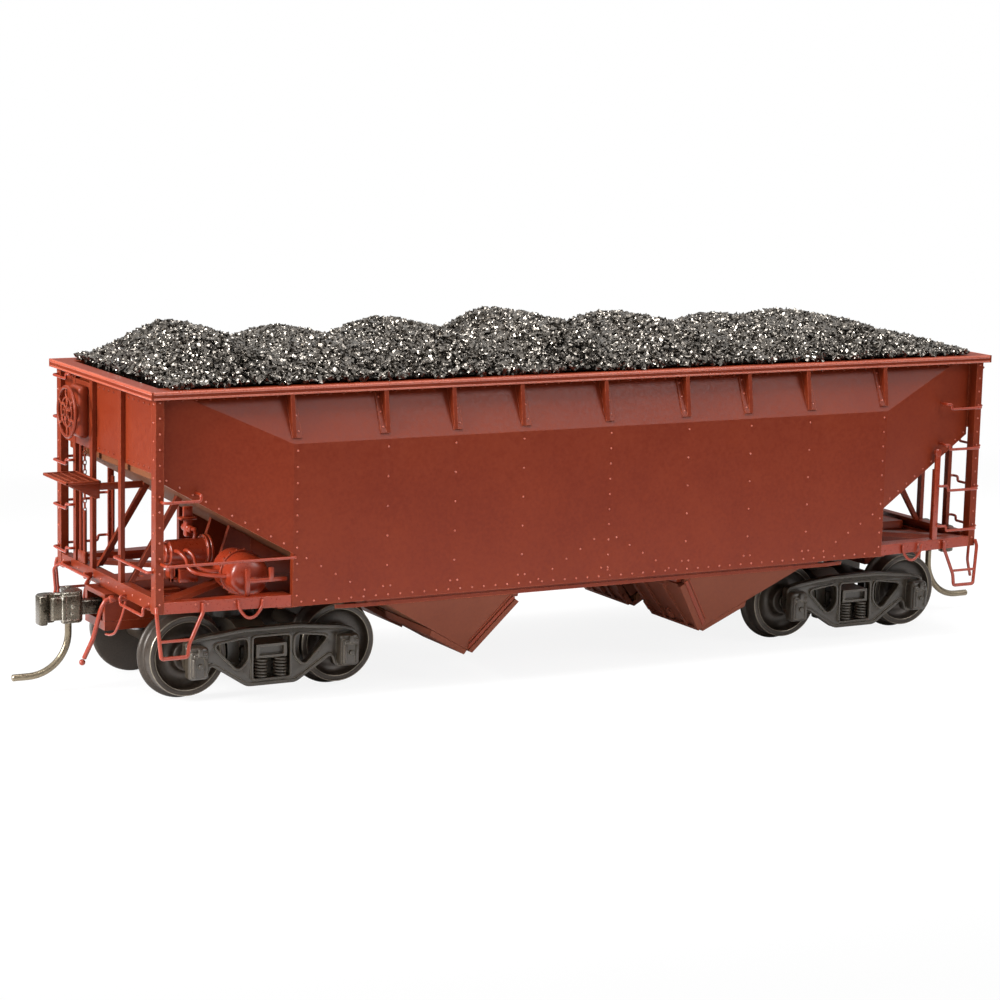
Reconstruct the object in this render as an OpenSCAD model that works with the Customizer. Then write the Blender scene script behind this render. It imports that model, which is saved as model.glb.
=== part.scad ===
// Model twin hopper car in 1:87 scale with two trucks, knuckle couplers and a lift-out coal load.
// Millimetres. +X runs along the car to the A end, +Z up from the wheel flange bottoms.
// The hand brake is on the B end at -X. Right is -Y and left is +Y.

/* [Body] */
// Length over the corner posts
body_l = 117.6; // [116:0.1:118.5]
// Length over the top rim
rim_l = 119.1; // [118.6:0.1:121]
// Width over the top rim
rim_w = 34; // [33:0.1:35]
// Width over the side sheets
side_w = 35.6; // [35:0.1:36]
// Height of the rim top
rim_z = 37.9; // [37.5:0.1:40]
// Height of the fold where the side sheet leans in
fold_z = 31.3; // [30:0.1:32]
// Inward lean of the upper side strip for each millimetre of height
lean = 0.42; // [0.3:0.01:0.5]
// Distance from the middle of the car to the panel seam
seam_x = 42.3; // [41:0.1:43]
// Inward taper of the end wings for each millimetre of length
taper = 0.19; // [0.15:0.01:0.24]
// Lower edge of the side sheets
sheet_z = 12.1; // [12:0.05:12.4]
// Thickness of the side sheets
wall = 0.8; // [0.6:0.05:1]
// Diameter of the grab irons and ladder rungs
wire_d = 0.36; // [0.3:0.02:0.5]

/* [Hoppers] */
// Rise of the slope sheets for each millimetre of length
slope = 0.569; // [0.56:0.001:0.58]
// Height of the slope sheet underside at the panel seam
slope_z0 = 18.44; // [18.2:0.02:18.8]
// Upright thickness of the slope sheets
slope_t = 0.85; // [0.6:0.05:1]
// Height of the cross ridge between the hoppers
ridge_z = 18.8; // [18:0.1:20]
// Distance from the middle of the car to the hopper tips
tip_x = 17.1; // [16.9:0.1:17.4]
// Inward lean of the chute side plates for each millimetre of height
chute_lean = 0.43; // [0.38:0.01:0.46]
// Distance from the middle of the car to the top of the hopper doors
door_x = 12.2; // [12:0.1:12.4]
// Height of the top of the hopper doors
door_z = 10.7; // [10.5:0.1:10.9]

/* [Trucks] */
// Distance from the middle of the car to each truck centre
truck_x = 42.43; // [42:0.01:43]
// Distance between the axles of one truck
wheelbase = 19.5; // [19.2:0.05:19.6]
// Diameter of the wheel tread
tread_d = 9.62; // [9.4:0.02:9.7]
// Diameter over the wheel flange
flange_d = 10.9; // [10.8:0.02:11]
// Distance between the inner faces of a wheel pair
back_to_back = 14.5; // [14.3:0.05:14.7]
// Diameter of the wheel axle
axle_d = 2; // [1.8:0.05:2.2]

/* [Couplers] */
// Height of the coupler centre line
coupler_z = 10.3; // [10.2:0.02:10.4]
// Distance from the middle of the car to the coupler pivot
pivot_x = 54.5; // [54:0.1:55]
// Distance from the middle of the car to the knuckle face
knuckle_x = 67; // [66.8:0.1:67.2]

/* [Hidden] */
$fn = 48;
// Seam left between separate solids that rest on each other
seam = 0.03;
half_w = side_w / 2;
half_l = body_l / 2;
rim_y = rim_w / 2;
rim_x = rim_l / 2;
rim_t = 0.6;
rim_lip = 0.95;
end_lip = 0.8;
rim_in = rim_y - 3.1;
sheet_top = rim_z - rim_t;
wing_x = half_l - 1.2;
panel_x = wing_x + 0.05;
panel_t = 0.55;
post_d = 0.55;
post_w = 0.85;
corner_w = 1.35;
corner_d = 1;
corner_y = 16.3;
sill_z = 13.5;
sill_low = 12.15;
lip_z = 11.3;
lip_t = 0.45;
chute_y = 17.3;
chute_t = 0.6;
chute_in = 3;
sill_w = 4.8;
sill_top = 13.4;
sill_bottom = 9;
load_z = 33.15;
axle_z = flange_d / 2;
frame_in = 11.2;
frame_out = 12.4;
rung_z = [14.7, 20.1, 25.6, 31];
top_rung_z = 36.1;
gusset_x = [-42.2, -30.1, -21.1, -11.8, 0, 11.8, 21.1, 30.1, 42.2];
post_y = [-5.35, 4.05, 9.8];

// Colours as the photograph shows them
red = "#8a3a2c";
iron = "#3a3632";
metal = "#5b5a57";
coal = "#1c1b1b";

// Underside of the slope sheets, half width of the upper strip, and half width of the end wings
function slope_at(x) = slope_z0 + slope * (abs(x) - seam_x);
function slope_x(z) = seam_x + (z - slope_z0) / slope;
function strip_y(z) = half_w - lean * (z - fold_z);
function wing_y(x) = half_w - taper * (abs(x) - seam_x);
// Outer face of the chute side plates, and outer face of the side sills from the seam to the corner
function chute_out(z) = chute_y - chute_lean * (lip_z - z);
function sill_y(x) = half_w - 0.15 - (half_w - 0.15 - corner_y) * (x - seam_x) / (half_l - corner_d - seam_x);

// Extrude an XZ outline along Y, and a YZ outline along X
module xz(y0, y1) {
    translate([0, y1, 0]) rotate([90, 0, 0]) linear_extrude(y1 - y0) children();
}
module yz(x0, x1) {
    translate([x0, 0, 0]) rotate([90, 0, 90]) linear_extrude(x1 - x0) children();
}
module box(low, high) {
    translate(low) cube(high - low);
}
// The same shape at both ends, turned half round
module both_ends() {
    children();
    rotate([0, 0, 180]) children();
}
// The same shape on all four corners
module four_corners() {
    both_ends() children();
    mirror([1, 0, 0]) both_ends() children();
}
// Straight eight-sided rod between two points, let past each end by run
module rod(p, q, d, run = 0) {
    v = q - p;
    h = norm(v);
    translate(p) rotate([0, acos(v[2] / h), atan2(v[1], v[0])])
        translate([0, 0, -run]) cylinder(h = h + 2 * run, d = d, $fn = 8);
}
// Rod through a list of points
module bent_rod(points, d) {
    for (i = [0 : len(points) - 2]) rod(points[i], points[i + 1], d, d * 0.3);
}
// Points of a polygon with each corner rounded by an arc of radius r
function unit(v) = v / norm(v);
function corner_arc(a, b, c, r, steps = 4) =
    let (u = unit(a - b), v = unit(c - b), half = acos(u * v) / 2, reach = r / tan(half),
        centre = b + unit(u + v) * r / sin(half),
        from = b + u * reach - centre, to = b + v * reach - centre,
        turn = cross(from, to) > 0 ? 180 - 2 * half : 2 * half - 180)
    [for (i = [0 : steps]) let (t = turn * i / steps)
        centre + [from[0] * cos(t) - from[1] * sin(t), from[0] * sin(t) + from[1] * cos(t)]];
function rounded(points, r) = let (n = len(points))
    [for (i = [0 : n - 1]) each corner_arc(points[(i + n - 1) % n], points[i], points[(i + 1) % n], r)];

// The whole tub as a solid, drawn in by inset on both sides
module tub(inset) {
    top = sheet_top + (inset > 0 ? 1 : 0);
    end = wing_x + (inset > 0 ? 1 : 0);
    right = [[-end, -(wing_y(end) - inset)], [-seam_x, -(half_w - inset)],
        [seam_x, -(half_w - inset)], [end, -(wing_y(end) - inset)]];
    left = [for (i = [3 : -1 : 0]) [right[i][0], -right[i][1]]];
    intersection() {
        yz(-end, end) polygon([[inset - half_w, 0], [half_w - inset, 0], [half_w - inset, fold_z],
            [strip_y(top) - inset, top], [inset - strip_y(top), top], [inset - half_w, fold_z]]);
        linear_extrude(top) polygon(concat(right, left));
    }
}
// Space between the side sheets above the lip, and between the chute plates below it
module hold_width() {
    intersection() {
        tub(wall + 0.05);
        box([-rim_x, -half_w, lip_z + lip_t + 0.05], [rim_x, half_w, rim_z]);
    }
    chute_width(-chute_t - 0.05);
}
// Space between the leaning chute plates, widened by spread on both sides
module chute_width(spread) {
    top = lip_z + lip_t + 0.06;
    yz(-half_l, half_l) polygon([[-chute_out(0) - spread, 0], [chute_out(0) + spread, 0],
        [chute_out(top) + spread, top], [-chute_out(top) - spread, top]]);
}
module gusset(x) {
    side = (abs(x) == 30.1) ? sign(x) : (x > 0 ? -1 : 1);
    web = 0.5;
    foot_z = fold_z + 0.7;
    head_z = rim_z - rim_lip;
    flange = side > 0 ? [x + web / 2, x + web / 2 + 0.7] : [x - web / 2 - 0.7, x - web / 2];
    yz(x - web / 2, x + web / 2)
        polygon([[half_w - 0.12, foot_z], [rim_y, head_z], [rim_y - 0.5, sheet_top],
            [strip_y(sheet_top) - 0.2, sheet_top], [strip_y(foot_z) - 0.2, foot_z]]);
    yz(flange[0], flange[1])
        polygon([[strip_y(foot_z) + 0.2, foot_z], [strip_y(head_z) + 0.2, head_z],
            [strip_y(head_z) - 0.2, head_z], [strip_y(foot_z) - 0.2, foot_z]]);
}
module side_panel() {
    outline = [[-wing_x, slope_at(wing_x)], [-seam_x, slope_at(seam_x)], [-seam_x, sheet_z],
        [seam_x, sheet_z], [seam_x, slope_at(seam_x)], [wing_x, slope_at(wing_x)],
        [wing_x, sheet_top], [-wing_x, sheet_top]];
    lip_x = 36.5;
    lip_in = chute_y - 0.4;
    intersection() {
        difference() {
            tub(0);
            translate([0, 0, -0.01]) tub(wall);
        }
        xz(5, half_w + 1) polygon(outline);
    }
    for (x = gusset_x) gusset(x);
    yz(-rim_x, rim_x)
        polygon([[rim_y, rim_z - rim_lip], [rim_y, rim_z], [rim_in, rim_z], [rim_in, sheet_top],
            [rim_y - 0.6, sheet_top], [rim_y - 0.6, rim_z - rim_lip]]);
    translate([0, 0, lip_z]) linear_extrude(lip_t)
        polygon([[-lip_x, half_w - wall], [2.5 - lip_x, half_w - 0.35], [lip_x - 2.5, half_w - 0.35],
            [lip_x, half_w - wall], [lip_x - 4, lip_in], [4 - lip_x, lip_in]]);
    box([4 - lip_x, half_w - wall, lip_z + 0.1], [lip_x - 4, half_w - 0.45, sheet_z + 0.3]);
}
module left_side_panel() { color(red) side_panel(); }
module right_side_panel() { color(red) mirror([0, 1, 0]) side_panel(); }

module end_panel() {
    panel_y = corner_y - corner_w - 0.05;
    panel_z = slope_at(wing_x) + slope_t + 0.1;
    box([panel_x, -panel_y, panel_z], [panel_x + panel_t, panel_y, sheet_top - seam]);
    box([panel_x, -(rim_in - seam), sheet_top - 1], [panel_x + panel_t, rim_in - seam, sheet_top + 0.1]);
    box([panel_x - 0.15, -(rim_in - seam), sheet_top], [rim_x, rim_in - seam, rim_z]);
    box([rim_x - 0.55, -(rim_in - seam), rim_z - end_lip], [rim_x, rim_in - seam, rim_z]);
}
module end_panel_a() { color(red) end_panel(); }
module end_panel_b() { color(red) rotate([0, 0, 180]) end_panel(); }

module slope_sheet() {
    difference() {
        intersection() {
            xz(-half_w, half_w) polygon([[tip_x + 0.2, slope_at(tip_x + 0.2)], [wing_x, slope_at(wing_x)],
                [wing_x, slope_at(wing_x) + slope_t], [tip_x + 0.2, slope_at(tip_x + 0.2) + slope_t]]);
            hold_width();
        }
        box([0, -sill_w / 2 - 0.1, 0], [wing_x, sill_w / 2 + 0.1, sill_top + 0.1]);
    }
}
module slope_sheet_a() { color(red) slope_sheet(); }
module slope_sheet_b() { color(red) rotate([0, 0, 180]) slope_sheet(); }

// Two roof plates over the gap between the hoppers, each with an apron down to the door tops
module cross_ridge() {
    knee_z = ridge_z - slope * door_x;
    plate = 0.75;
    color(red) both_ends() difference() {
        intersection() {
            xz(-half_w, half_w) polygon([[seam, ridge_z], [door_x, knee_z], [door_x, door_z],
                [door_x - plate, door_z], [door_x - plate, knee_z - plate * 0.6],
                [seam, ridge_z - slope_t]]);
            hold_width();
        }
        box([0, -sill_w / 2 - 0.1, 0], [wing_x, sill_w / 2 + 0.1, sill_top + 0.1]);
    }
}
// Bars from side to side that carry the coal load
module cross_ties() {
    tie_z = load_z - 0.05;
    tie_h = 0.8;
    reach = strip_y(tie_z) - wall - seam;
    color(red) for (x = [-24, 0, 24]) box([x - 0.6, -reach, tie_z - tie_h], [x + 0.6, reach, tie_z]);
}
// Channel open below, solid at the truck screws, with a tongue over each coupler box
module centre_sill() {
    bar_x = 37;
    end_x = 50.4;
    color(red) difference() {
        union() {
            box([-end_x, -sill_w / 2, sill_bottom], [end_x, sill_w / 2, sill_top]);
            box([-half_l + 1.5, -sill_w / 2, 12.25], [half_l - 1.5, sill_w / 2, sill_top]);
            both_ends() translate([truck_x, 0, sill_bottom]) cylinder(h = 1.2, d = 5.8);
        }
        box([-bar_x, -1.65, sill_bottom - 1], [bar_x, 1.65, 12.7]);
        both_ends() translate([truck_x, 0, sill_bottom - 1]) cylinder(h = 4.2, d = 2.04);
        both_ends() translate([pivot_x, 0, 12]) cylinder(h = 2, d = 1.24);
    }
}
module body_bolsters() {
    arm = [[sill_w / 2 + 0.05, 10.3], [5, 10.3], [16.7, 11.8], [16.7, 12.9], [12, 12.3], [8.6, 12.3],
        [sill_w / 2 + 0.05, sill_top]];
    web = [[truck_x - 1.2, sill_top - 0.1], [46, sill_top - 0.1], [44, slope_at(44) - seam],
        [truck_x - 1.2, slope_at(truck_x - 1.2) - seam]];
    color(red) four_corners() {
        yz(truck_x - 1.2, truck_x + 1.2) polygon(arm);
        xz(2.5, 3.1) polygon(web);
    }
}
module side_sills() {
    near = seam_x + 0.05;
    far = half_l - corner_d - 0.05;
    web = 0.75;
    flange = 0.4;
    inner = 15.2;
    color(red) four_corners() {
        translate([0, 0, sill_low]) linear_extrude(sill_z - sill_low) polygon([[near, sill_y(near)],
            [far, sill_y(far)], [far, sill_y(far) - web], [near, sill_y(near) - web]]);
        translate([0, 0, sill_z - flange]) linear_extrude(flange) polygon([[near, sill_y(near)],
            [far, sill_y(far)], [far, inner], [near, inner]]);
    }
}
module end_sills() {
    web_x = half_l - 0.05;
    color(red) both_ends() xz(-14.9, 14.9)
        polygon([[web_x, 12.3], [web_x, 13.9], [web_x - 1.25, 13.9], [web_x - 1.25, 13.5],
            [web_x - 0.45, 13.5], [web_x - 0.45, 12.7], [web_x - 1.25, 12.7], [web_x - 1.25, 12.3]]);
}
// Upright bars of the A end: two corner posts and three between them
module end_posts() {
    foot_z = 13.9 + seam;
    for (y = post_y)
        box([half_l - post_d, -y - post_w, foot_z], [half_l, -y, sheet_top - seam]);
    for (y = [-corner_y, corner_y - corner_w])
        box([half_l - corner_d, y, sill_low], [half_l, y + corner_w, sheet_top - seam]);
}
module end_posts_a() { color(red) end_posts(); }
module end_posts_b() { color(red) rotate([0, 0, 180]) end_posts(); }

// Struts from the end sills up to the slope sheets, and floor braces from the corners to the bolsters
module end_braces() {
    top_x = 51.1;
    strut_y = 5.2;
    color(red) four_corners() {
        xz(strut_y - 0.3, strut_y + 0.3) polygon([[57.75, 13.95], [57.1, 13.95],
            [top_x, slope_at(top_x) - seam], [top_x + 0.7, slope_at(top_x + 0.7) - seam]]);
        translate([0, 0, 12.75]) linear_extrude(0.6)
            polygon([[57.4, 14.85], [57.4, 13.6], [44.9, 3.2], [43.7, 3.2], [43.7, 3.9], [56.4, 14.85]]);
    }
}
// Leaning side plates of the four chutes, their inner plates, and a doubler strip under each mouth
module hopper_chutes() {
    top_z = lip_z - seam;
    bed = slope_t + seam;
    strip_x = 22.8;
    strip_t = 0.75;
    function under(x) = slope_at(x) - 0.1 - seam;
    color(red) four_corners() {
        intersection() {
            xz(0, half_w) polygon([[door_x + seam, top_z], [door_x + seam, door_z],
                [tip_x, slope_at(tip_x) - 0.1], [slope_x(top_z), top_z]]);
            difference() {
                chute_width(0);
                chute_width(-chute_t);
            }
        }
        xz(chute_in, chute_in + chute_t) polygon([[door_x + seam, sill_top], [door_x + seam, door_z],
            [tip_x - 0.3, slope_at(tip_x - 0.3) + bed], [slope_x(sill_top - bed), sill_top]]);
        intersection() {
            xz(chute_in, half_w) polygon([[tip_x, under(tip_x)], [strip_x, under(strip_x)],
                [strip_x, under(strip_x) - strip_t], [tip_x + 0.3, under(tip_x + 0.3) - strip_t]]);
            chute_width(0);
        }
    }
}
// Each door lies on the slanted mouth of its chute, with two ribs and a row of hinge knuckles
module hopper_doors() {
    top = [door_x, door_z];
    tip = [tip_x, slope_at(tip_x) - 0.1];
    along = unit(tip - top);
    out = [along[1], -along[0]];
    reach = norm(tip - top);
    inner = chute_in - 0.05;
    edge = 0.3;
    skin = 0.45;
    rib = 0.75;
    // Outline of a strip lying on the mouth between two distances along it and out from it
    function strip(a0, a1, o0, o1) = [top + along * a0 + out * o0, top + along * a1 + out * o0,
        top + along * a1 + out * o1, top + along * a0 + out * o1];
    color(red) four_corners() {
        intersection() {
            union() {
                xz(inner, half_w) polygon(strip(0.1, reach - 0.05, 0.05, skin));
                xz(inner, inner + 0.7) polygon(strip(0.1, reach - 0.05, 0.4, rib));
                for (y = [6.2, 11.6]) xz(y, y + 0.5) polygon(strip(0.5, reach - 0.4, 0.4, rib));
                xz(inner, half_w) polygon(strip(reach - 0.5, reach - 0.05, 0.4, rib));
                difference() {
                    xz(inner, half_w) polygon(strip(0.1, reach - 0.05, 0.4, rib));
                    chute_width(edge - 0.7);
                }
            }
            chute_width(edge);
        }
        for (y = [4.4, 8.7, 12.2]) xz(y, y + 1.1) translate(top + along * 0.35 + out * 0.6) circle(d = 0.8);
    }
}
// Side and end ladder at the right corner of the A end, repeated half round
module ladders() {
    stile_x = 51.6;
    side_y = -17.3;
    drop_x = 53.1;
    last_x = 58.1;
    end_x = half_l + 0.7;
    first_y = -10.2;
    drop_y = -11.2;
    last_y = -15.6;
    step_up = 0.65;
    color(red) both_ends() {
        box([stile_x - 0.5, -16.95, sill_z + seam], [stile_x + 0.5, -16.55, 25.3]);
        box([stile_x - 0.5, -16.95, sill_z + seam], [stile_x - 0.1, -15.95, 23]);
        for (z = rung_z) {
            on_wing = z > 24;
            from_x = on_wing ? 52.5 : stile_x + 0.3;
            from_y = on_wing ? -wing_y(from_x) - 0.1 : -16.6;
            up = z + step_up;
            bent_rod([[from_x, from_y, up], [from_x, side_y, up], [drop_x, side_y, up],
                [drop_x, side_y, z], [last_x, side_y, z], [last_x, -corner_y - 0.1, z]], wire_d);
        }
        for (z = concat(rung_z, top_rung_z)) {
            up = z + step_up;
            bent_rod([[half_l + 0.1, first_y, up], [end_x, first_y, up], [end_x, drop_y, up],
                [end_x, drop_y, z], [end_x, last_y, z], [half_l + 0.1, last_y, z]], wire_d);
        }
    }
}
// Hand holds at the corner with no ladder, shown for the left corner of the A end
module grab_irons() {
    end_x = half_l + 0.7;
    last_x = 58.1;
    short_x = 53.6;
    long_y = 18.05;
    short_y = 17.2;
    // Middle of the end post that carries the inner end
    hold_y = -post_y[0] - post_w / 2;
    color(red) both_ends() {
        bent_rod([[last_x, corner_y + 0.1, 18], [last_x, long_y, 18], [seam_x - 0.2, long_y, 18],
            [seam_x - 0.2, half_w + 0.1, 18]], wire_d);
        bent_rod([[last_x, corner_y + 0.1, 25.2], [last_x, short_y, 25.2], [short_x, short_y, 25.2],
            [short_x, short_y, 25.9], [short_x, wing_y(short_x) + 0.1, 25.9]], wire_d);
        bent_rod([[half_l + 0.1, hold_y, 17], [end_x, hold_y, 17], [end_x, 15.5, 17],
            [half_l + 0.1, 15.5, 17]], wire_d);
        bent_rod([[half_l + 0.1, 7, 12.7], [end_x, 7, 12.7], [end_x, 7, 11.7], [end_x, 14.2, 11.7],
            [end_x, 14.2, 12.7], [half_l + 0.1, 14.2, 12.7]], wire_d);
    }
}
// Corner steps, each with its inner leg up the face of the side sill
module sill_steps() {
    step_y = 17;
    leg_x = 58.35;
    bar = 0.5;
    color(red) four_corners() {
        bent_rod([[leg_x, 16.66, 13.2], [leg_x, step_y, 12.3], [leg_x, step_y, 7.1], [55.1, step_y, 7.1],
            [54.9, step_y, 8.6], [53.6, step_y, 11.4], [53.2, step_y, 12.2], [53.2, step_y, 13.2]], bar);
        rod([54.9, step_y, 9.1], [leg_x, step_y, 9.1], wire_d);
    }
}
// Rope loops below the side sills, their legs up the face of the sill
module tow_loops() {
    loop_y = 17.55;
    half = [[1.5, 13.2], [1.4, 12.3], [0.95, 11.7], [0.55, 11.3], [0, 11.15]];
    path = concat(half, [for (i = [3 : -1 : 0]) [-half[i][0], half[i][1]]]);
    color(red) four_corners() bent_rod([for (p = path) [47.5 + p[0], loop_y, p[1]]], wire_d);
}
// Air brake cylinder across the B end floor, with a bolted joint at its pressure head and a bracket
module brake_cylinder() {
    bore_r = 1.55;
    joint_r = 1.95;
    color(red) {
        translate([-52.9, -5, 17]) rotate([0, 90, 0]) {
            cylinder(h = 5.2, r = bore_r);
            for (x = [4.55, 5]) translate([0, 0, x]) cylinder(h = 0.35, r = joint_r);
            translate([0, 0, 5]) cylinder(h = 0.75, r = 1.1);
            translate([0, 0, -0.5]) cylinder(h = 0.6, r = 1.2);
            translate([0, 0, -1.3]) cylinder(h = 1, d = 0.7);
        }
        box([-51.6, -6, sill_top + seam], [-49.2, -1.4, 15]);
        box([-51.6, -5.6, sill_top + seam], [-49.2, -4.4, 16]);
        box([-52.5, -5.3, sill_top + seam], [-52, -4.7, 16.5]);
        box([-52.5, -5.3, sill_top + seam], [-51.5, -4.7, 14]);
    }
}
// Air tank lying across the car with domed ends and a joint ring, on brackets from the side sill
module air_reservoir() {
    tank_r = 2.45;
    tank_l = 7.6;
    dome = 1.3;
    arc = [for (i = [0 : 7]) [tank_r * cos(i * 11.25), dome * sin(i * 11.25)]];
    half = concat([for (p = arc) [p[0], tank_l - dome + p[1]]], [[0, tank_l]]);
    back = concat([[0, 0]], [for (i = [7 : -1 : 0]) [arc[i][0], dome - arc[i][1]]]);
    post = [-16.5, -16.05];
    color(red) {
        translate([-46.2, -7.7, 15.4]) rotate([90, 0, 0]) {
            rotate_extrude() polygon(concat(back, half));
            translate([0, 0, 3.6]) cylinder(h = 0.45, r = tank_r + 0.25);
        }
        box([-47.65, post[0], sill_z + seam], [-47.1, post[1], 16.7]);
        box([-44.65, post[0], 15], [-44.1, post[1], 16.7]);
        box([-47.65, post[0], 15], [-seam_x - 0.1, post[1], 15.5]);
        box([-46.6, post[0], 15], [-45.8, -14.6, 15.5]);
    }
}
module control_valve() {
    color(red) {
        box([-49.4, -2.5, 18.2], [-48.4, -1.5, 20.5]);
        box([-50.1, -2.6, 20.3], [-48, -1.4, 20.6]);
        box([-49.6, -2.2, 20.5], [-48.4, -1.8, slope_at(48.4) - seam]);
        translate([-48.9, -3.3, 19.2]) rotate([-90, 0, 0]) cylinder(h = 2.6, d = 0.9);
    }
}
module air_pipes() {
    pipe = 0.5;
    color(red) {
        bent_rod([[-52.3, -6.2, 17.4], [-52.4, -7.6, 17.6], [-51.9, -9, 16.8], [-52.3, -10, 16],
            [-51.6, -11, 15.5], [-50, -12.2, 15.35], [-48.5, -13, 15.35]], pipe);
        bent_rod([[-51.2, -6.3, 17.3], [-51.3, -7.4, 17.7], [-50.8, -8.5, 17.1], [-51.1, -9.4, 16.2],
            [-50.4, -10.2, 15.7], [-49.5, -10.9, 15.6], [-48.5, -11.1, 15.6]], pipe);
        bent_rod([[-48.9, -3.1, 19.2], [-48.9, -4.2, 19.5], [-49.2, -4.9, 19], [-49.4, -5, 18.4]], pipe);
        both_ends() bent_rod([[half_l - 0.1, 4.4, 11.75], [50.6, 4.4, 11.75], [49.2, 2.7, 11.75]], pipe);
    }
}
// Gear case of the hand brake between two posts, with the spindle of its wheel
wheel_at = [-61, 6.7, 32.7];
module brake_housing() {
    color(red) {
        box([-half_l, 4.95, 28.4], [-half_l + post_d, 9.75, 36.3]);
        box([-60.1, 5, 29.6], [-half_l + 0.1, 8.6, 35.9]);
        translate(wheel_at) rotate([0, 90, 0]) {
            translate([0, 0, 0.6]) cylinder(h = 0.6, d = 3);
            translate([0, 0, -0.5]) cylinder(h = 1.2, d = 0.84);
        }
    }
}
// Brakeman's deck on two gussets, with a tail bar from the near gusset to the slope sheet
module brake_platform() {
    deck_z = 25.1;
    deck = [-63.2, -half_l - 0.05];
    tail_x = -53.4;
    color(red) {
        box([deck[0], 0.9, deck_z - 0.35], [deck[1], 9.1, deck_z]);
        for (y = [1.3, 8.3]) xz(y, y + 0.4) polygon([[deck[0] + 0.2, deck_z - 0.3], [deck[1], deck_z - 0.3],
            [deck[1], deck_z - 2.2], [deck[1] - 0.6, deck_z - 2.2]]);
        xz(1.3, 1.7) polygon([[deck[1] - 0.2, deck_z - 1.2], [tail_x, deck_z - 1.2],
            [tail_x, slope_at(tail_x) - seam - 0.02], [deck[1] - 0.2, deck_z - 0.35]]);
    }
}
// Rod and chain from the gear case down to a crank on the end sill
module hand_brake_rod() {
    rod_x = -58.53;
    color(red) {
        rod([rod_x, 7.3, 28.35], [rod_x, 7.3, 14.6], 0.6);
        rod([rod_x, 8.6, 28.35], [rod_x, 8.6, 15.2], 0.45);
        box([rod_x - 0.25, 6.8, 13.95], [rod_x + 0.25, 9.2, 15.4]);
    }
}
// Hand wheel with a rim, a hub and bent spokes
module brake_wheel() {
    spokes = 6;
    ring = 3;
    hub = 0.7;
    color(red) translate(wheel_at) rotate([0, 90, 0]) difference() {
        union() {
            rotate_extrude() translate([ring, 0]) circle(d = 0.44);
            translate([0, 0, -0.3]) cylinder(h = 0.6, r = hub);
            for (i = [0 : spokes - 1]) rotate(i * 360 / spokes) {
                rod([0.5, 0, 0], [1.7, 0.45, 0], 0.34, 0.1);
                rod([1.7, 0.45, 0], [ring, 0, 0], 0.34, 0.1);
            }
        }
        translate([0, 0, -1]) cylinder(h = 2, d = 1);
    }
}
// Cut lever along the end sill to a drop handle at the right corner of the A end
module uncoupling_levers() {
    lever_x = half_l + 1;
    color(red) both_ends() {
        bent_rod([[60.9, -0.6, 12.85], [lever_x, -2.4, 13.1], [lever_x, -12.6, 13.1],
            [lever_x + 0.6, -13.2, 12.4], [lever_x + 0.3, -13.4, 9.6], [lever_x + 0.9, -13.4, 7.4]],
            wire_d + 0.06);
        for (y = [-12, -4.4]) box([half_l, y, 12.7], [lever_x + 0.1, y + 0.5, 13.5]);
    }
}
// Brake hose hanging from a cock at the left of each coupler
module air_hoses() {
    color(red) both_ends() {
        bent_rod([[half_l + 0.4, 4.4, 11.75], [60.2, 4.4, 11.9], [60.8, 4.2, 10.8], [61.5, 3.4, 7],
            [62.4, 2.8, 4.6]], 0.55);
        translate([62.6, 2.7, 4.1]) sphere(d = 0.75);
    }
}
module ballast_bar() {
    color(metal) box([-36.5, -1.6, sill_bottom + 0.2], [36.5, 1.6, 12.65]);
}

// Coupler box without its floor: roof, side walls and the pivot post
box_low = 7.8;
box_top = 12.2;
box_front = half_l + 1.2;
box_back = 50.45;
box_w = 6.6;
lid_t = 1.05;
module coupler_boxes() {
    roof = 11.65;
    wall_y = 2.6;
    color(red) both_ends() difference() {
        union() {
            box([box_back, -box_w / 2, roof], [box_front, box_w / 2, box_top]);
            for (y = [-box_w / 2, wall_y]) box([box_back, y, box_low + lid_t + seam],
                [box_front, y + box_w / 2 - wall_y, box_top]);
            box([box_back, -box_w / 2, box_low + lid_t + seam], [box_back + 1, box_w / 2, box_top]);
            translate([pivot_x, 0, box_low + lid_t + seam]) cylinder(h = 3, d = 2.1);
        }
        translate([pivot_x, 0, 7]) cylinder(h = 6, d = 1.24);
    }
}
module coupler_lids() {
    color(red) both_ends() difference() {
        box([box_back, -box_w / 2, box_low], [box_front, box_w / 2, box_low + lid_t]);
        translate([pivot_x, 0, 7]) cylinder(h = 3, d = 1.24);
    }
}
module pan_screw(head_z, tip_z, shank, head) {
    translate([0, 0, head_z]) cylinder(h = tip_z - head_z, d = shank);
    difference() {
        translate([0, 0, head_z - 0.7]) cylinder(h = 0.7, d = head);
        box([-head, -0.15, head_z - 0.8], [head, 0.15, head_z - 0.4]);
    }
}
module coupler_screws() {
    color(metal) both_ends() translate([pivot_x, 0, 0]) pan_screw(box_low - seam, 13.2, 1.2, 2.4);
}
module truck_screws() {
    color(metal) both_ends() translate([truck_x, 0, 0]) pan_screw(4.9, 12, 2, 3.6);
}

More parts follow.
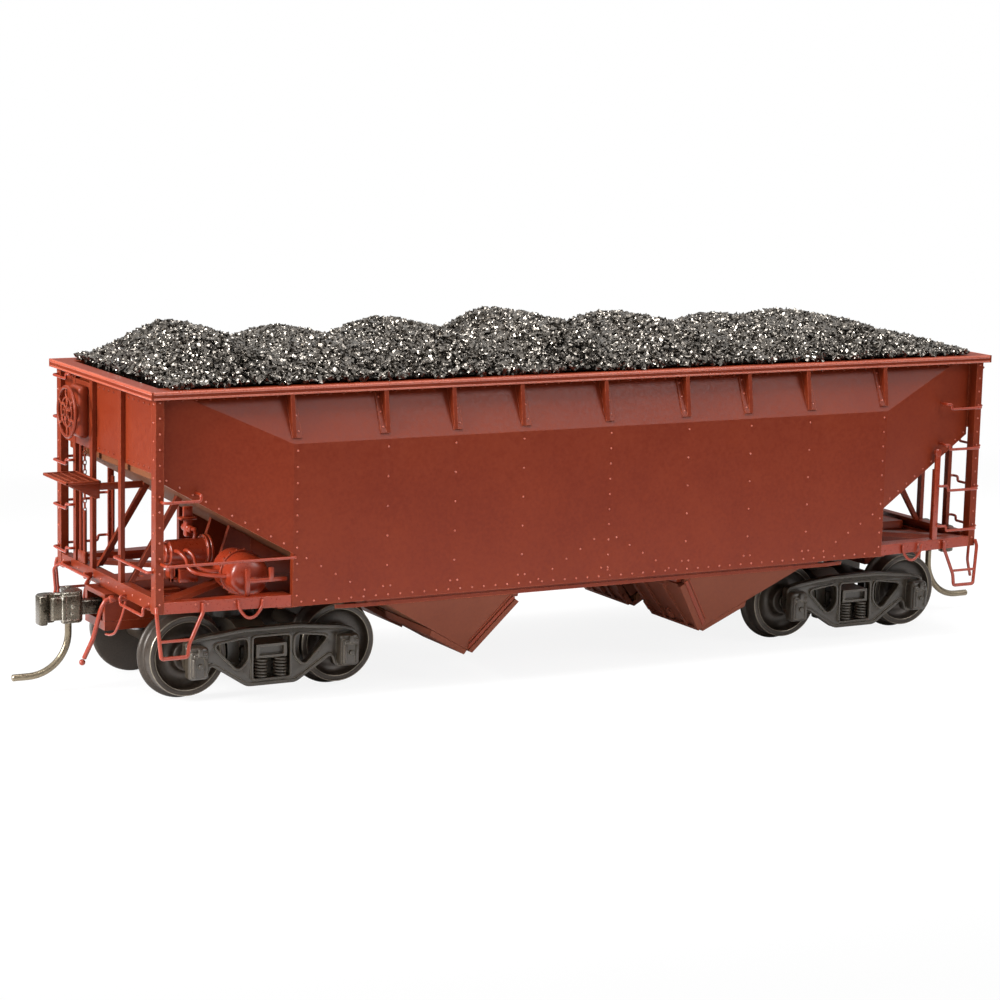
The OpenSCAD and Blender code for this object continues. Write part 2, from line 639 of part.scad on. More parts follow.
// Coal heap: a height field of seven humps over a rounded ridge, with a brim just above the rim
load_x = panel_x - 0.65;
load_y = rim_in - 0.3;
brim_y = rim_y - 0.7;
brim_z = rim_z + 0.3;
heap_x = [-48.1, -33.4, -18.9, -2.7, 14.7, 31, 42.1];
heap_h = [3.5, 2.3, 3, 3.9, 2.8, 2, 2.2];
function heap(x, y) =
    let (across = 1 - pow(abs(y) / brim_y, 4.3), ends = 1 - pow(abs(x) / (load_x + 0.4), 21),
        humps = [for (i = [0 : len(heap_x) - 1]) heap_h[i] * exp(-pow((x - heap_x[i]) / 5.4, 2))])
    brim_z + 0.15 + across * ends * (1.8 + humps * [for (h = heap_h) 1]);
module coal_load() {
    nx = 52;
    ny = 12;
    row = ny + 1;
    top = [for (i = [0 : nx], j = [0 : ny])
        let (x = load_x * (2 * i / nx - 1), y = brim_y * (2 * j / ny - 1)) [x, y, heap(x, y)]];
    count = len(top);
    edge = concat([for (i = [0 : nx]) i * row], [for (j = [1 : ny]) nx * row + j],
        [for (i = [nx - 1 : -1 : 0]) i * row + ny], [for (j = [ny - 1 : -1 : 1]) j]);
    n = len(edge);
    inner = [0.995, load_y / brim_y];
    rings = concat([for (e = edge) [top[e][0], top[e][1], brim_z]],
        [for (z = [brim_z, load_z], e = edge) [top[e][0] * inner[0], top[e][1] * inner[1], z]]);
    quads = [for (i = [0 : nx - 1], j = [0 : ny - 1]) let (a = i * row + j) each
        [[a, a + 1, a + row + 1], [a, a + row + 1, a + row]]];
    walls = [for (k = [0 : n - 1]) let (m = (k + 1) % n) each
        [[edge[k], edge[m], count + m], [edge[k], count + m, count + k]]];
    under = [for (r = [0, n], k = [0 : n - 1]) let (a = count + r, m = (k + 1) % n) each
        [[a + k, a + m, a + n + m], [a + k, a + n + m, a + n + k]]];
    low = count + 2 * n;
    floor = [for (k = [0 : n - 1]) [low + k, low + (k + 1) % n, low + n]];
    color(coal) polyhedron(concat(top, rings, [[0, 0, load_z]]), concat(quads, walls, under, floor));
}

// Coupler shank and head, pointing to the A end, with a guard arm and two ears for the knuckle pin
ear = [62.9, -1.25];
head_low = coupler_z - 1.55;
head_top = coupler_z + 2.2;
module coupler() {
    core = [[61.9, -0.95], [61.9, 1], [62.5, 2], [64.8, 2], [64.8, 1.3], [64.3, 0.5], [64, -0.1],
        [62.3, -0.2]];
    arm = [[64.6, 2], [66, 2.1], [66.15, 1.6], [65.4, 1.2], [64.6, 1.1]];
    cheek = [[62.05, -0.6], [62.1, -1.6], [62.9, -2.15], [63.7, -1.7], [63.9, 0], [62.3, 0]];
    ear_t = 0.6;
    difference() {
        union() {
            translate([pivot_x, 0, 9.2]) cylinder(h = 2.1, d = 4.2);
            box([pivot_x, -0.9, 9.4], [62, 0.9, 11.1]);
            translate([0, 0, head_low]) linear_extrude(head_top - head_low) polygon(rounded(core, 0.12));
            translate([0, 0, head_low + 0.45]) linear_extrude(head_top - head_low - 1)
                polygon(rounded(arm, 0.12));
            for (z = [head_low, head_top - ear_t]) translate([0, 0, z]) linear_extrude(ear_t) {
                translate(ear) circle(r = 0.95);
                polygon(cheek);
            }
        }
        translate([pivot_x, 0, 8]) cylinder(h = 5, d = 2.22);
        translate([ear[0], ear[1], 8]) cylinder(h = 5, d = 0.84);
    }
}
module coupler_a() { color(metal) coupler(); }
module coupler_b() { color(metal) rotate([0, 0, 180]) coupler(); }

// Hooked jaw on a pin between the ears, with a tail disc
module knuckle() {
    low = coupler_z - 2;
    high = coupler_z + 1.55;
    hook = [[64.6, -1.1], [64.5, -2.1], [65.6, -2.35], [66.5, -2.1], [knuckle_x, -1.3],
        [knuckle_x - 0.05, 0.3], [65.95, 0.3], [65.9, -0.6], [65.5, -1]];
    web_low = head_low + 0.7;
    web_top = head_top - 0.7;
    translate([0, 0, low]) linear_extrude(high - low) polygon(rounded(hook, 0.14));
    translate([0, 0, web_low]) linear_extrude(web_top - web_low) {
        translate(ear) circle(r = 0.7);
        polygon([[62.9, -0.6], [64.8, -1.15], [64.8, -2.05], [62.9, -1.9]]);
    }
    translate([ear[0], ear[1], head_low - 0.1]) cylinder(h = head_top - head_low + 0.2, d = 0.7);
}
module knuckle_a() { color(metal) knuckle(); }
module knuckle_b() { color(metal) rotate([0, 0, 180]) knuckle(); }

// Steel wire under the knuckle pin that curves out over the track
module trip_pin() {
    bend = 5;
    swing = 90;
    foot = 2.05;
    drop_z = 7;
    pin_d = 0.85;
    translate([ear[0], ear[1], drop_z]) cylinder(h = head_low - 0.1 - seam - drop_z, d = pin_d);
    translate([ear[0] + bend, ear[1], drop_z]) rotate([90, 0, 0])
        rotate([0, 0, 180]) {
            rotate_extrude(angle = swing) translate([bend, 0]) circle(d = pin_d);
            rotate([0, 0, swing]) translate([bend, 0, 0]) rotate([-90, 0, 0]) cylinder(h = foot, d = pin_d);
        }
}
module trip_pin_a() { color("#8f8672") trip_pin(); }
module trip_pin_b() { color("#8f8672") rotate([0, 0, 180]) trip_pin(); }

// Place a truck piece under either end
module at_truck(end) { translate([end * truck_x, 0, 0]) children(); }
module truck_bolster() {
    difference() {
        union() {
            yz(-1.95, 1.95) polygon([[-12.3, 4.95], [12.3, 4.95], [12.3, 6.6], [7.5, 6.8], [4.4, 8],
                [-4.4, 8], [-7.5, 6.8], [-12.3, 6.6]]);
            translate([0, 0, 7.9]) cylinder(h = 1, d = 5.6);
        }
        translate([0, 0, 4]) cylinder(h = 6, d = 2.14);
        for (y = [-12.4, 11.7]) box([-1.6, y, 5.25], [1.6, y + 0.7, 6.3]);
    }
}
module truck_bolster_a() { color(iron) at_truck(1) truck_bolster(); }
module truck_bolster_b() { color(iron) at_truck(-1) truck_bolster(); }

// One cast side frame on the left: arch outline, three windows, a spring pocket and two journal boxes
module sideframe() {
    arch = [[-11, 7.6], [-9, 8.1], [-3.6, 8.7], [3.6, 8.7], [9, 8.1], [11, 7.6], [11, 4.4], [9.7, 3.1],
        [8.3, 3.1], [7.8, 4.6], [3.2, 1.65], [-3.2, 1.65], [-7.8, 4.6], [-8.3, 3.1], [-9.7, 3.1], [-11, 4.4]];
    window = [[-2.35, 2.5], [2.35, 2.5], [2.35, 7.5], [-2.35, 7.5]];
    triangle = [[3.1, 7.45], [7.3, 6.95], [3.85, 3.9]];
    axle_x = wheelbase / 2;
    pocket_x = 2.75;
    pocket = [10.35, 10.7];
    difference() {
        union() {
            xz(frame_in, frame_out) difference() {
                polygon(rounded(arch, 0.35));
                polygon(window);
                polygon(rounded(triangle, 0.35));
                mirror([1, 0]) polygon(rounded(triangle, 0.35));
            }
            for (x = [-axle_x, axle_x]) {
                box([x - 1.6, frame_out - 0.1, 2.9], [x + 1.6, 13.8, 7.5]);
                box([x - 1.2, 13.7, 3.4], [x + 1.2, 14.15, 6.8]);
            }
            box([-pocket_x, pocket[0], 2], [pocket_x, pocket[1], 4.9]);
            for (x = [-pocket_x, pocket_x - 0.35]) box([x, pocket[0], 2], [x + 0.35, frame_in + 0.05, 4.9]);
        }
        for (x = [-axle_x, axle_x]) translate([x, 0, axle_z]) rotate([-90, 0, 0]) cylinder(h = 13, d = 1.32);
    }
}
module sideframes() { both_ends() sideframe(); }
module sideframes_a() { color(iron) at_truck(1) sideframes(); }
module sideframes_b() { color(iron) at_truck(-1) sideframes(); }

// Helical spring: bent from upright into the helix at both ends
spring_wire = 0.26;
spring_r = 0.82;
spring_bend = 0.2;
spring_turns = 2.2;
spring_z0 = 2.51;
spring_z1 = 4.94;
rings = 18;
helix_h = spring_z1 - spring_z0 - 2 * (spring_wire + spring_bend);
helix_tilt = atan(helix_h / (2 * PI * spring_r * spring_turns));
bend_turn = spring_bend / spring_r * 180 / PI;
// Each ring of the tube: angle round the axis, height, and tilt of the wire from level
spring_path = let (a0 = spring_z0 + spring_wire, a1 = spring_z1 - spring_wire, turned = 360 * spring_turns)
    concat([[0, spring_z0, 90], [0, a0, 90], [0.293 * bend_turn, a0 + 0.707 * spring_bend, 45]],
        [for (i = [0 : rings])
            [bend_turn + turned * i / rings, a0 + spring_bend + helix_h * i / rings, helix_tilt]],
        [[turned + 1.707 * bend_turn, a1 - 0.707 * spring_bend, 45], [turned + 2 * bend_turn, a1, 90],
            [turned + 2 * bend_turn, spring_z1, 90]]);
function spring_centre(p) = [spring_r * cos(p[0]), spring_r * sin(p[0]), p[1]];
function spring_ring(p) = let (radial = [cos(p[0]), sin(p[0]), 0], round = [-sin(p[0]), cos(p[0]), 0],
    lift = [0, 0, 1] * cos(p[2]) - round * sin(p[2]))
    [for (k = [0 : 5]) spring_centre(p) + spring_wire / 2 * (radial * cos(60 * k) + lift * sin(60 * k))];
spring_gap = min([for (i = [0 : len(spring_path) - 1], j = [0 : len(spring_path) - 1])
    if (j - i > 5) norm(spring_centre(spring_path[i]) - spring_centre(spring_path[j])) - spring_wire]);
echo(spring_gap = spring_gap);
module spring() {
    n = len(spring_path);
    points = [for (p = spring_path) each spring_ring(p)];
    skin = [for (i = [0 : n - 2], k = [0 : 5]) let (a = i * 6 + k, b = i * 6 + (k + 1) % 6) each
        [[a, a + 6, b + 6], [a, b + 6, b]]];
    last = (n - 1) * 6;
    caps = [for (k = [1 : 4]) each [[0, k, k + 1], [last, last + k + 1, last + k]]];
    polyhedron(points, concat(skin, caps));
}
module truck_springs() {
    for (x = [-1.15, 1.15], y = [-11.85, 11.85]) translate([x, y, 0]) spring();
}
module truck_springs_a() { color(iron) at_truck(1) truck_springs(); }
module truck_springs_b() { color(iron) at_truck(-1) truck_springs(); }

// Cross beams with brake shoes facing the inner side of each wheel
module brake_beams() {
    both_ends() difference() {
        union() {
            box([2.7, -9.4, 4.5], [3.6, 9.4, 5.4]);
            for (y = [-9.9, 8.4]) box([3.2, y, 3.9], [4.8, y + 1.5, 6.9]);
            box([1.98, -1.2, 5.1], [2.8, 1.2, 6.6]);
        }
        translate([wheelbase / 2, 0, axle_z]) rotate([90, 0, 0])
            cylinder(h = 30, r = tread_d / 2 + 0.32, center = true);
    }
}
module brake_beams_a() { color(iron) at_truck(1) brake_beams(); }
module brake_beams_b() { color(iron) at_truck(-1) brake_beams(); }

// Axle with slim journals in the side frames
module axle(end, side) {
    color(metal) translate([end * truck_x + side * wheelbase / 2, 0, axle_z]) rotate([90, 0, 0]) {
        cylinder(h = 21, d = axle_d, center = true);
        cylinder(h = 25.2, d = 1.2, center = true);
    }
}
module axle_a1() { axle(1, 1); }
module axle_a2() { axle(1, -1); }
module axle_b1() { axle(-1, -1); }
module axle_b2() { axle(-1, 1); }

// Wheel pair: flange inside, coned tread, dished face with a hub
module wheel() {
    bore = axle_d / 2 + 0.02;
    tread = tread_d / 2;
    flange = flange_d / 2;
    rim = tread - 0.75;
    rotate([-90, 0, 0]) rotate_extrude() polygon([[bore, 0], [tread - 0.5, 0], [flange - 0.25, 0],
        [flange, 0.25], [flange, 0.5], [flange - 0.3, 0.75], [tread + 0.05, 0.95], [tread, 2.8], [rim, 2.8],
        [rim - 0.2, 1.9], [2.4, 1.5], [1.9, 1.9], [1.75, 2.8], [bore, 2.8]]);
}
module wheels(end, side) {
    color(iron) translate([end * truck_x + side * wheelbase / 2, 0, axle_z]) both_ends()
        translate([0, back_to_back / 2, 0]) wheel();
}
module wheels_a1() { wheels(1, 1); }
module wheels_a2() { wheels(1, -1); }
module wheels_b1() { wheels(-1, -1); }
module wheels_b2() { wheels(-1, 1); }

right_side_panel();
left_side_panel();
end_panel_a();
end_panel_b();
slope_sheet_a();
slope_sheet_b();
cross_ridge();
cross_ties();
centre_sill();
body_bolsters();
side_sills();
end_sills();
end_posts_a();
end_posts_b();
end_braces();
hopper_chutes();
hopper_doors();
ladders();
grab_irons();
sill_steps();
tow_loops();
brake_cylinder();
air_reservoir();
control_valve();
air_pipes();
brake_housing();
brake_platform();
hand_brake_rod();
brake_wheel();
uncoupling_levers();
air_hoses();
ballast_bar();
coupler_boxes();
coupler_lids();
coupler_screws();
truck_screws();
coal_load();
coupler_a();
coupler_b();
knuckle_a();
knuckle_b();
trip_pin_a();
trip_pin_b();
truck_bolster_a();
truck_bolster_b();
sideframes_a();
sideframes_b();
truck_springs_a();
truck_springs_b();
brake_beams_a();
brake_beams_b();
axle_a1();
axle_a2();
axle_b1();
axle_b2();
wheels_a1();
wheels_a2();
wheels_b1();
wheels_b2();
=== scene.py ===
"""Looks of the model hopper car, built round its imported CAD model: paint, rivets, coal, trucks and stage.

Shapes are drawn in millimetres in the CAD frame: +X to the A end, +Z up, right side at -Y. They become metres
when a mesh is made. Pieces at the A end are drawn once and turned half round for the B end.
"""

import math

import bmesh
import bpy
from mathutils import Matrix, Vector, geometry


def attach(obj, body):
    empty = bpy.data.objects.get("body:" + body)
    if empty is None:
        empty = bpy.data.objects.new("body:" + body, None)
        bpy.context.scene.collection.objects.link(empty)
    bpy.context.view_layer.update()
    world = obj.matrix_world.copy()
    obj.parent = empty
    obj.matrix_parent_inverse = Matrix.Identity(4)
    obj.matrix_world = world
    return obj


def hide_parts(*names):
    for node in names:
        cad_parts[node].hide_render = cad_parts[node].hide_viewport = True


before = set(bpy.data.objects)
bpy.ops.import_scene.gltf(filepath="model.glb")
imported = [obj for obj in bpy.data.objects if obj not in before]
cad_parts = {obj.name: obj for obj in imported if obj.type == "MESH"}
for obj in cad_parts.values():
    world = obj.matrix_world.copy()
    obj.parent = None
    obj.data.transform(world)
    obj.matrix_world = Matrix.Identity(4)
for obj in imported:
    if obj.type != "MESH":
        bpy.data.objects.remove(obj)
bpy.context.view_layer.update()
MM = 0.001

# Sizes of the CAD model that the pieces are set out from
HALF_W = 17.8
HALF_L = 58.8
RIM_X, RIM_Y, RIM_Z, RIM_LIP = 59.55, 17.0, 37.9, 0.95
RIM_IN = 13.9
FOLD_Z, LEAN = 31.3, 0.42
SEAM_X, TAPER = 42.3, 0.19
SHEET_Z = 12.1
SLOPE, SLOPE_Z0 = 0.569, 18.44
RIDGE_Z = 18.8
WING_X = HALF_L - 1.2
PANEL_FACE_X = WING_X + 0.6
CORNER_Y, CORNER_D = 16.3, 1.0
SILL_Z = 13.5
TOP_RUNG_Z = 36.1
TRUCK_X, WHEELBASE, AXLE_Z = 42.43, 19.5, 5.45
COUPLER_Z = 10.3
GUSSET_X = (-42.2, -30.1, -21.1, -11.8, 0, 11.8, 21.1, 30.1, 42.2)
RUNG_Z = (14.7, 20.1, 25.6, 31.0)
SILL_RIVET_Z = 13.1
WIRE = 0.36
END_WIRE_X, POST_WIRE_X = HALF_L + 0.7, 58.1
PIPE_Y, PIPE_Z = 4.4, 11.75


def slope_at(x):
    """Height of the slope sheet's underside."""
    return SLOPE_Z0 + SLOPE * (abs(x) - SEAM_X)


def strip_y(z):
    """Half width of the leaning strip above the fold."""
    return HALF_W - LEAN * (z - FOLD_Z)


def wing_y(x):
    """Half width of the tapered end wings."""
    return HALF_W - TAPER * (abs(x) - SEAM_X)


def sill_y(x):
    """Half width over the side sills, which run in from the seam to the corner posts."""
    start = HALF_W - 0.15
    return start - (start - CORNER_Y) * (abs(x) - SEAM_X) / (HALF_L - CORNER_D - SEAM_X)


# Nodes and materials


def linear(code):
    """Linear RGBA of an sRGB hex colour."""
    parts = [int(code[i : i + 2], 16) / 255 for i in (1, 3, 5)]
    return tuple(c / 12.92 if c <= 0.04045 else ((c + 0.055) / 1.055) ** 2.4 for c in parts) + (1.0,)


class Nodes:
    """Adds nodes to a tree, which is cleared first."""

    def __init__(self, tree):
        self.tree = tree
        tree.nodes.clear()

    def add(self, kind, links=None, **settings):
        """A new node. Settings go on it; links gives its inputs a value, a socket, a node or a list."""
        node = self.tree.nodes.new(kind)
        for name, value in settings.items():
            setattr(node, name, value)
        for key, given in (links or {}).items():
            for value in given if isinstance(given, list) else [given]:
                if isinstance(value, bpy.types.Node):
                    value = value.outputs[0]
                if isinstance(value, bpy.types.NodeSocket):
                    self.tree.links.new(value, node.inputs[key])
                else:
                    node.inputs[key].default_value = value
        return node

    def number(self, operation, *values):
        """A sum on numbers."""
        return self.add("ShaderNodeMath", dict(enumerate(values)), operation=operation)

    def vector(self, operation, *values, **links):
        """A sum on vectors."""
        return self.add("ShaderNodeVectorMath", {**dict(enumerate(values)), **links}, operation=operation)

    def mapped(self, value, span, first=0.0, last=1.0, **settings):
        """A value that runs from first to last while the given one runs over the span."""
        links = {"Value": value, "From Min": span[0], "From Max": span[1], "To Min": first, "To Max": last}
        return self.add("ShaderNodeMapRange", links, **settings)

    def mixed(self, share, first, second):
        """A colour between two others."""
        return self.add("ShaderNodeMix", {0: share, 6: first, 7: second}, data_type="RGBA").outputs[2]


def empty_material(name):
    """A new material and its cleared nodes."""
    material = bpy.data.materials.new(name)
    material.use_nodes = True
    return material, Nodes(material.node_tree)


CLOUD_MM, RELIEF_MM = 9, 0.02
MOTTLE_SPAN, GLOSS_SPAN, EDGE_LIGHT_SPAN = (0.7, 1.3), (0.3, 0.7), (0.995, 0.8)


def finish_material(
    name, tones, grain_mm, rough, edge=None, edge_mm=0.08, bump=0.15, metallic=0.0, fade=0.5, shine=0.5
):
    """A surface with mottled colour, uneven gloss, a fine grain in relief and a paler tone along its edges as
    a painted highlight.
    """
    material, nodes = empty_material(name)
    place = nodes.add("ShaderNodeTexCoord").outputs["Object"]
    grain, cloud = (
        nodes.add("ShaderNodeTexNoise", {"Vector": place, "Scale": 1 / (size * MM), "Detail": detail})
        for size, detail in ((grain_mm, 3.0), (CLOUD_MM, 4.0))
    )
    cloud.inputs["Roughness"].default_value = 0.6
    height = grain.outputs["Fac"]
    share = nodes.mapped(nodes.number("ADD", height, cloud.outputs["Fac"]), MOTTLE_SPAN)
    colour = nodes.mixed(share, linear(tones[0]), linear(tones[1]))
    eased = nodes.add("ShaderNodeBevel", {"Radius": edge_mm * MM}, samples=4)
    # Painted highlight: where the bevel turns the normal at an edge, the colour moves towards the paler edge
    # tone.
    if edge:
        face = nodes.add("ShaderNodeNewGeometry").outputs["Normal"]
        turn = nodes.vector("DOT_PRODUCT", eased, face).outputs["Value"]
        edge_light = nodes.number("MULTIPLY", nodes.mapped(turn, EDGE_LIGHT_SPAN, last=fade), share)
        colour = nodes.mixed(edge_light, colour, linear(edge))
    relief = {"Strength": bump, "Distance": RELIEF_MM * MM, "Height": height, "Normal": eased}
    surface = {
        "Base Color": colour,
        "Roughness": nodes.mapped(height, GLOSS_SPAN, *rough),
        "Normal": nodes.add("ShaderNodeBump", relief),
        "Metallic": metallic,
        "Specular IOR Level": shine,
    }
    nodes.add("ShaderNodeOutputMaterial", {"Surface": nodes.add("ShaderNodeBsdfPrincipled", surface)})
    return material


# Acrylic lacquer sprayed over moulded ABS: an even satin oxide red, with a paler tone along edges as a
# painted highlight.
# Its grain of 0.4 mm is coarser than the real spray grain, so that it shows.
OXIDE_RED = finish_material(
    "oxide_red_lacquer", ("#64200d", "#6f2811"), 0.4, (0.34, 0.46), "#d26c48", 0.1, fade=0.85, shine=0.2
)
# The same lacquer, dull and brown, on the slope sheets: a darker copy that paints the shade on their
# undersides.
SHADED_UNDERSIDE_RED = finish_material("oxide_red_painted_shade_undersides", ("#5b3320", "#6b4029"), 0.4, (0.7, 0.85), shine=0.08)
# The same lacquer on the hoppers and door latches, browner, darker and almost without shine: a copy that
# paints the shade on these downward-facing plates.
SHADED_HOPPER_RED = finish_material(
    "oxide_red_painted_shade_hoppers", ("#5f3022", "#6a3828"), 0.4, (0.55, 0.7), "#a8593f", 0.1, fade=0.7, shine=0.1
)
# The same lacquer on bent wire, thin castings and the side sills: glossier, and a brighter red that paints
# the light falling on these parts.
LIT_RED = finish_material(
    "oxide_red_painted_light", ("#78240f", "#862d15"), 0.3, (0.26, 0.36), "#d8714c", 0.1, fade=0.8, shine=0.45
)
# The same lacquer on rivet heads and beads, made paler: a painted highlight on their domed tops.
HIGHLIGHT_RED = finish_material(
    "oxide_red_painted_highlights", ("#923e29", "#a54f38"), 0.2, (0.25, 0.35), "#d2907a", 0.12, fade=0.8, shine=0.6
)
# Acetal trucks, moulded and tumbled: warm near-black with a soft gloss, and grey along the ribs and edges as
# a painted highlight.
ACETAL = finish_material("black_acetal", ("#241e17", "#362e24"), 0.3, (0.27, 0.42), "#a29784", 0.1, fade=0.8)
# Turned wheels, chemically blackened: dark satin metal, paler along its edges as a painted highlight.
WHEEL_TONES = ("#261f18", "#3a3027")
BLACKENED_WHEEL = finish_material(
    "blackened_wheel_metal", WHEEL_TONES, 0.25, (0.34, 0.46), "#b5ab9a", 0.1, metallic=0.3, fade=0.8
)
# Paler, more metallic bands on the same wheels: painted highlights along the wheel edges.
WHEEL_HIGHLIGHT_METAL = finish_material(
    "wheel_metal_painted_highlights", ("#6d6559", "#8e8578"), 0.25, (0.3, 0.4), metallic=0.8, bump=0.1
)
# Die-cast zinc couplers, blackened: grey and pitted, with bright edges as a painted highlight.
ZINC_TONES = ("#1f1b15", "#5a5246")
CAST_ZINC = finish_material(
    "blackened_cast_zinc", ZINC_TONES, 0.25, (0.18, 0.4), "#f4ecdc", 0.18, bump=0.8, metallic=0.7, fade=1.0
)
# Drawn steel wire: grey brown with a metal shine.
STEEL_WIRE = finish_material(
    "drawn_steel_wire", ("#6b6152", "#807562"), 0.3, (0.26, 0.4), metallic=0.9, bump=0.1
)
# Zinc-plated steel of the screws and the ballast bar: pale and bright.
PLATED_STEEL = finish_material(
    "plated_steel", ("#77767a", "#8b8a8c"), 0.4, (0.28, 0.4), metallic=1.0, bump=0.1
)
GLINT_MM = 0.27
# Middle of the range of a noise colour
HALVES = (0.5, 0.5, 0.5)


def coal_material():
    """Crushed anthracite: black, with small glassy breaks at all angles that catch the lamps as white sparks.

    The bed under the lumps has a tone of 0, so it is darker and hardly shines: painted shade that keeps the
    gaps black.
    """
    material, nodes = empty_material("crushed_anthracite")
    tone = nodes.add("ShaderNodeAttribute", attribute_name="lump_tone").outputs["Fac"]
    place = nodes.add("ShaderNodeTexCoord").outputs["Object"]
    breaks = nodes.add("ShaderNodeTexVoronoi", {"Vector": place, "Scale": 1 / (GLINT_MM * MM)})
    lean = nodes.vector("SUBTRACT", breaks.outputs["Color"], HALVES)
    face = nodes.add("ShaderNodeNewGeometry").outputs["Normal"]
    surface = {
        # A tone of 0 on the bed gives the darkest colour and the least shine: painted shade between the
        # lumps.
        "Base Color": nodes.mixed(tone, linear("#080706"), linear("#1c1916")),
        "Roughness": nodes.mapped(tone, (0.0, 1.0), 0.1, 0.28),
        "Normal": nodes.vector("NORMALIZE", nodes.vector("ADD", lean, face)),
        "IOR": 2.17,
        "Specular IOR Level": nodes.mapped(tone, (0.0, 0.1), 0.05, 0.5),
        # The warm tint of the reflections stands in for warm light: painted light.
        "Specular Tint": linear("#fff4e6"),
    }
    nodes.add("ShaderNodeOutputMaterial", {"Surface": nodes.add("ShaderNodeBsdfPrincipled", surface)})
    return material


ANTHRACITE = coal_material()


# Shapes: each is a list of (points, faces) in millimetres


def moved(shapes, matrix):
    """The shapes under a matrix, with faces turned over where it mirrors."""
    order = -1 if matrix.to_3x3().determinant() < 0 else 1
    return [([matrix @ Vector(p) for p in points], [f[::order] for f in faces]) for points, faces in shapes]


HALF_TURN = Matrix.Rotation(math.pi, 4, "Z")
MIRROR_X = Matrix.Scale(-1, 4, (1, 0, 0))
# Local X, Y, Z to X, Z, Y
UPRIGHT = Matrix(((1, 0, 0, 0), (0, 0, 1, 0), (0, 1, 0, 0), (0, 0, 0, 1)))


def both_ends(shapes):
    """The shapes and a copy turned half round to the other end."""
    return shapes + moved(shapes, HALF_TURN)


def four_corners(shapes):
    """The shapes at all four corners of the car."""
    return both_ends(shapes + moved(shapes, MIRROR_X))


def block(low, high, bevel=0.06, steps=2):
    """A box with rounded edges."""
    low, size = Vector(low), Vector(high) - Vector(low)
    bm = bmesh.new()
    bmesh.ops.create_cube(bm, size=1)
    for v in bm.verts:
        v.co = Vector([low[i] + (v.co[i] + 0.5) * size[i] for i in range(3)])
    width = min(bevel, min(size) * 0.45)
    bmesh.ops.bevel(bm, geom=list(bm.edges), offset=width, segments=steps, profile=0.5, affect="EDGES")
    bm.verts.index_update()
    shape = ([v.co.copy() for v in bm.verts], [[v.index for v in f.verts] for f in bm.faces])
    bm.free()
    return [shape]


def corner_curve(before, corner, after, cut, share, steps):
    """Points round a corner, from at most cut away and within a share of each side."""
    a, b = before - corner, after - corner
    cut = min(cut, a.length * share, b.length * share)
    start, end = corner + a.normalized() * cut, corner + b.normalized() * cut
    spots = [i / steps for i in range(steps + 1)]
    return [start * (1 - t) ** 2 + corner * 2 * t * (1 - t) + end * t**2 for t in spots]


def stitched(rings):
    """Faces from each ring of point numbers to the next; a ring may be one point."""
    faces = []
    for low, high in zip(rings, rings[1:]):
        count = max(len(low), len(high))
        for k in range(count):
            n = (k + 1) % count
            corners = [low[k % len(low)], low[n % len(low)], high[n % len(high)], high[k % len(high)]]
            corners = [c for i, c in enumerate(corners) if c not in corners[:i]]
            if len(corners) > 2:
                faces.append(corners)
    return faces


def tube(points, d, bend=0.4, sides=10):
    """A round bar along a path, its corners bent and its ends rounded off."""
    points = [Vector(p) for p in points]
    path = [points[0]]
    for before, corner, after in zip(points, points[1:], points[2:]):
        path += corner_curve(before, corner, after, bend, share=0.48, steps=5)
    path.append(points[-1])
    radius, tip, tip_share = d / 2, d * 0.15, 0.7
    steps = [path[min(i + 1, len(path) - 1)] - path[max(i - 1, 0)] for i in range(len(path))]
    tangents = [step.normalized() for step in steps]
    stations = [(path[0] - tangents[0] * tip, tangents[0], tip_share)]
    stations += [(p, t, 1.0) for p, t in zip(path, tangents)]
    stations += [(path[-1] + tangents[-1] * tip, tangents[-1], tip_share)]
    across = tangents[0].orthogonal().normalized()
    verts, rings = [], []
    for centre, tangent, share in stations:
        across = (across - tangent * across.dot(tangent)).normalized()
        up = tangent.cross(across)
        rings.append(list(range(len(verts), len(verts) + sides)))
        for k in range(sides):
            angle = 2 * math.pi * k / sides
            verts.append(centre + (across * math.cos(angle) + up * math.sin(angle)) * radius * share)
    return [(verts, stitched(rings) + [rings[0][::-1], rings[-1]])]


def lathe(profile, place, segments=40):
    """A turned shape: profile points are (radius, height) up the local Z axis of place."""
    verts, rings = [], []
    for r, h in profile:
        count = segments if r > 1e-6 else 1
        rings.append(list(range(len(verts), len(verts) + count)))
        for k in range(count):
            a = 2 * math.pi * k / segments
            verts.append(place @ Vector((r * math.cos(a), r * math.sin(a), h)))
    caps = [] if profile[0] == profile[-1] else [rings[0][::-1], rings[-1]]
    return [(verts, stitched(rings) + [cap for cap in caps if len(cap) > 1])]


def axis_x(x, y, z):
    """A place whose local Z axis points along +X."""
    return Matrix.Translation((x, y, z)) @ Matrix.Rotation(math.pi / 2, 4, "Y")


def axis_y(x, y, z):
    """A place whose local Z axis points along +Y."""
    return Matrix.Translation((x, y, z)) @ Matrix.Rotation(-math.pi / 2, 4, "X")


def counter_clockwise(points):
    """The outline in counter-clockwise order."""
    area = sum(a[0] * b[1] - b[0] * a[1] for a, b in zip(points, points[1:] + points[:1]))
    return points if area > 0 else points[::-1]


def inset(points, d):
    """A counter-clockwise outline drawn in by d."""
    drawn = []
    n = len(points)
    for i in range(n):
        a, b, c = Vector(points[i - 1]), Vector(points[i]), Vector(points[(i + 1) % n])
        u, v = (b - a).normalized(), (c - b).normalized()
        first, second = Vector((-u.y, u.x)), Vector((-v.y, v.x))
        drawn.append(b + (first + second) * d / max(0.3, 1 + first.dot(second)))
    return drawn


def rounded(points, r):
    """An outline with its corners rounded."""
    points = [Vector(p) for p in counter_clockwise(points)]
    drawn = []
    for before, corner, after in zip(points[-1:] + points, points, points[1:] + points[:1]):
        drawn += corner_curve(before, corner, after, r, share=0.45, steps=4)
    return drawn


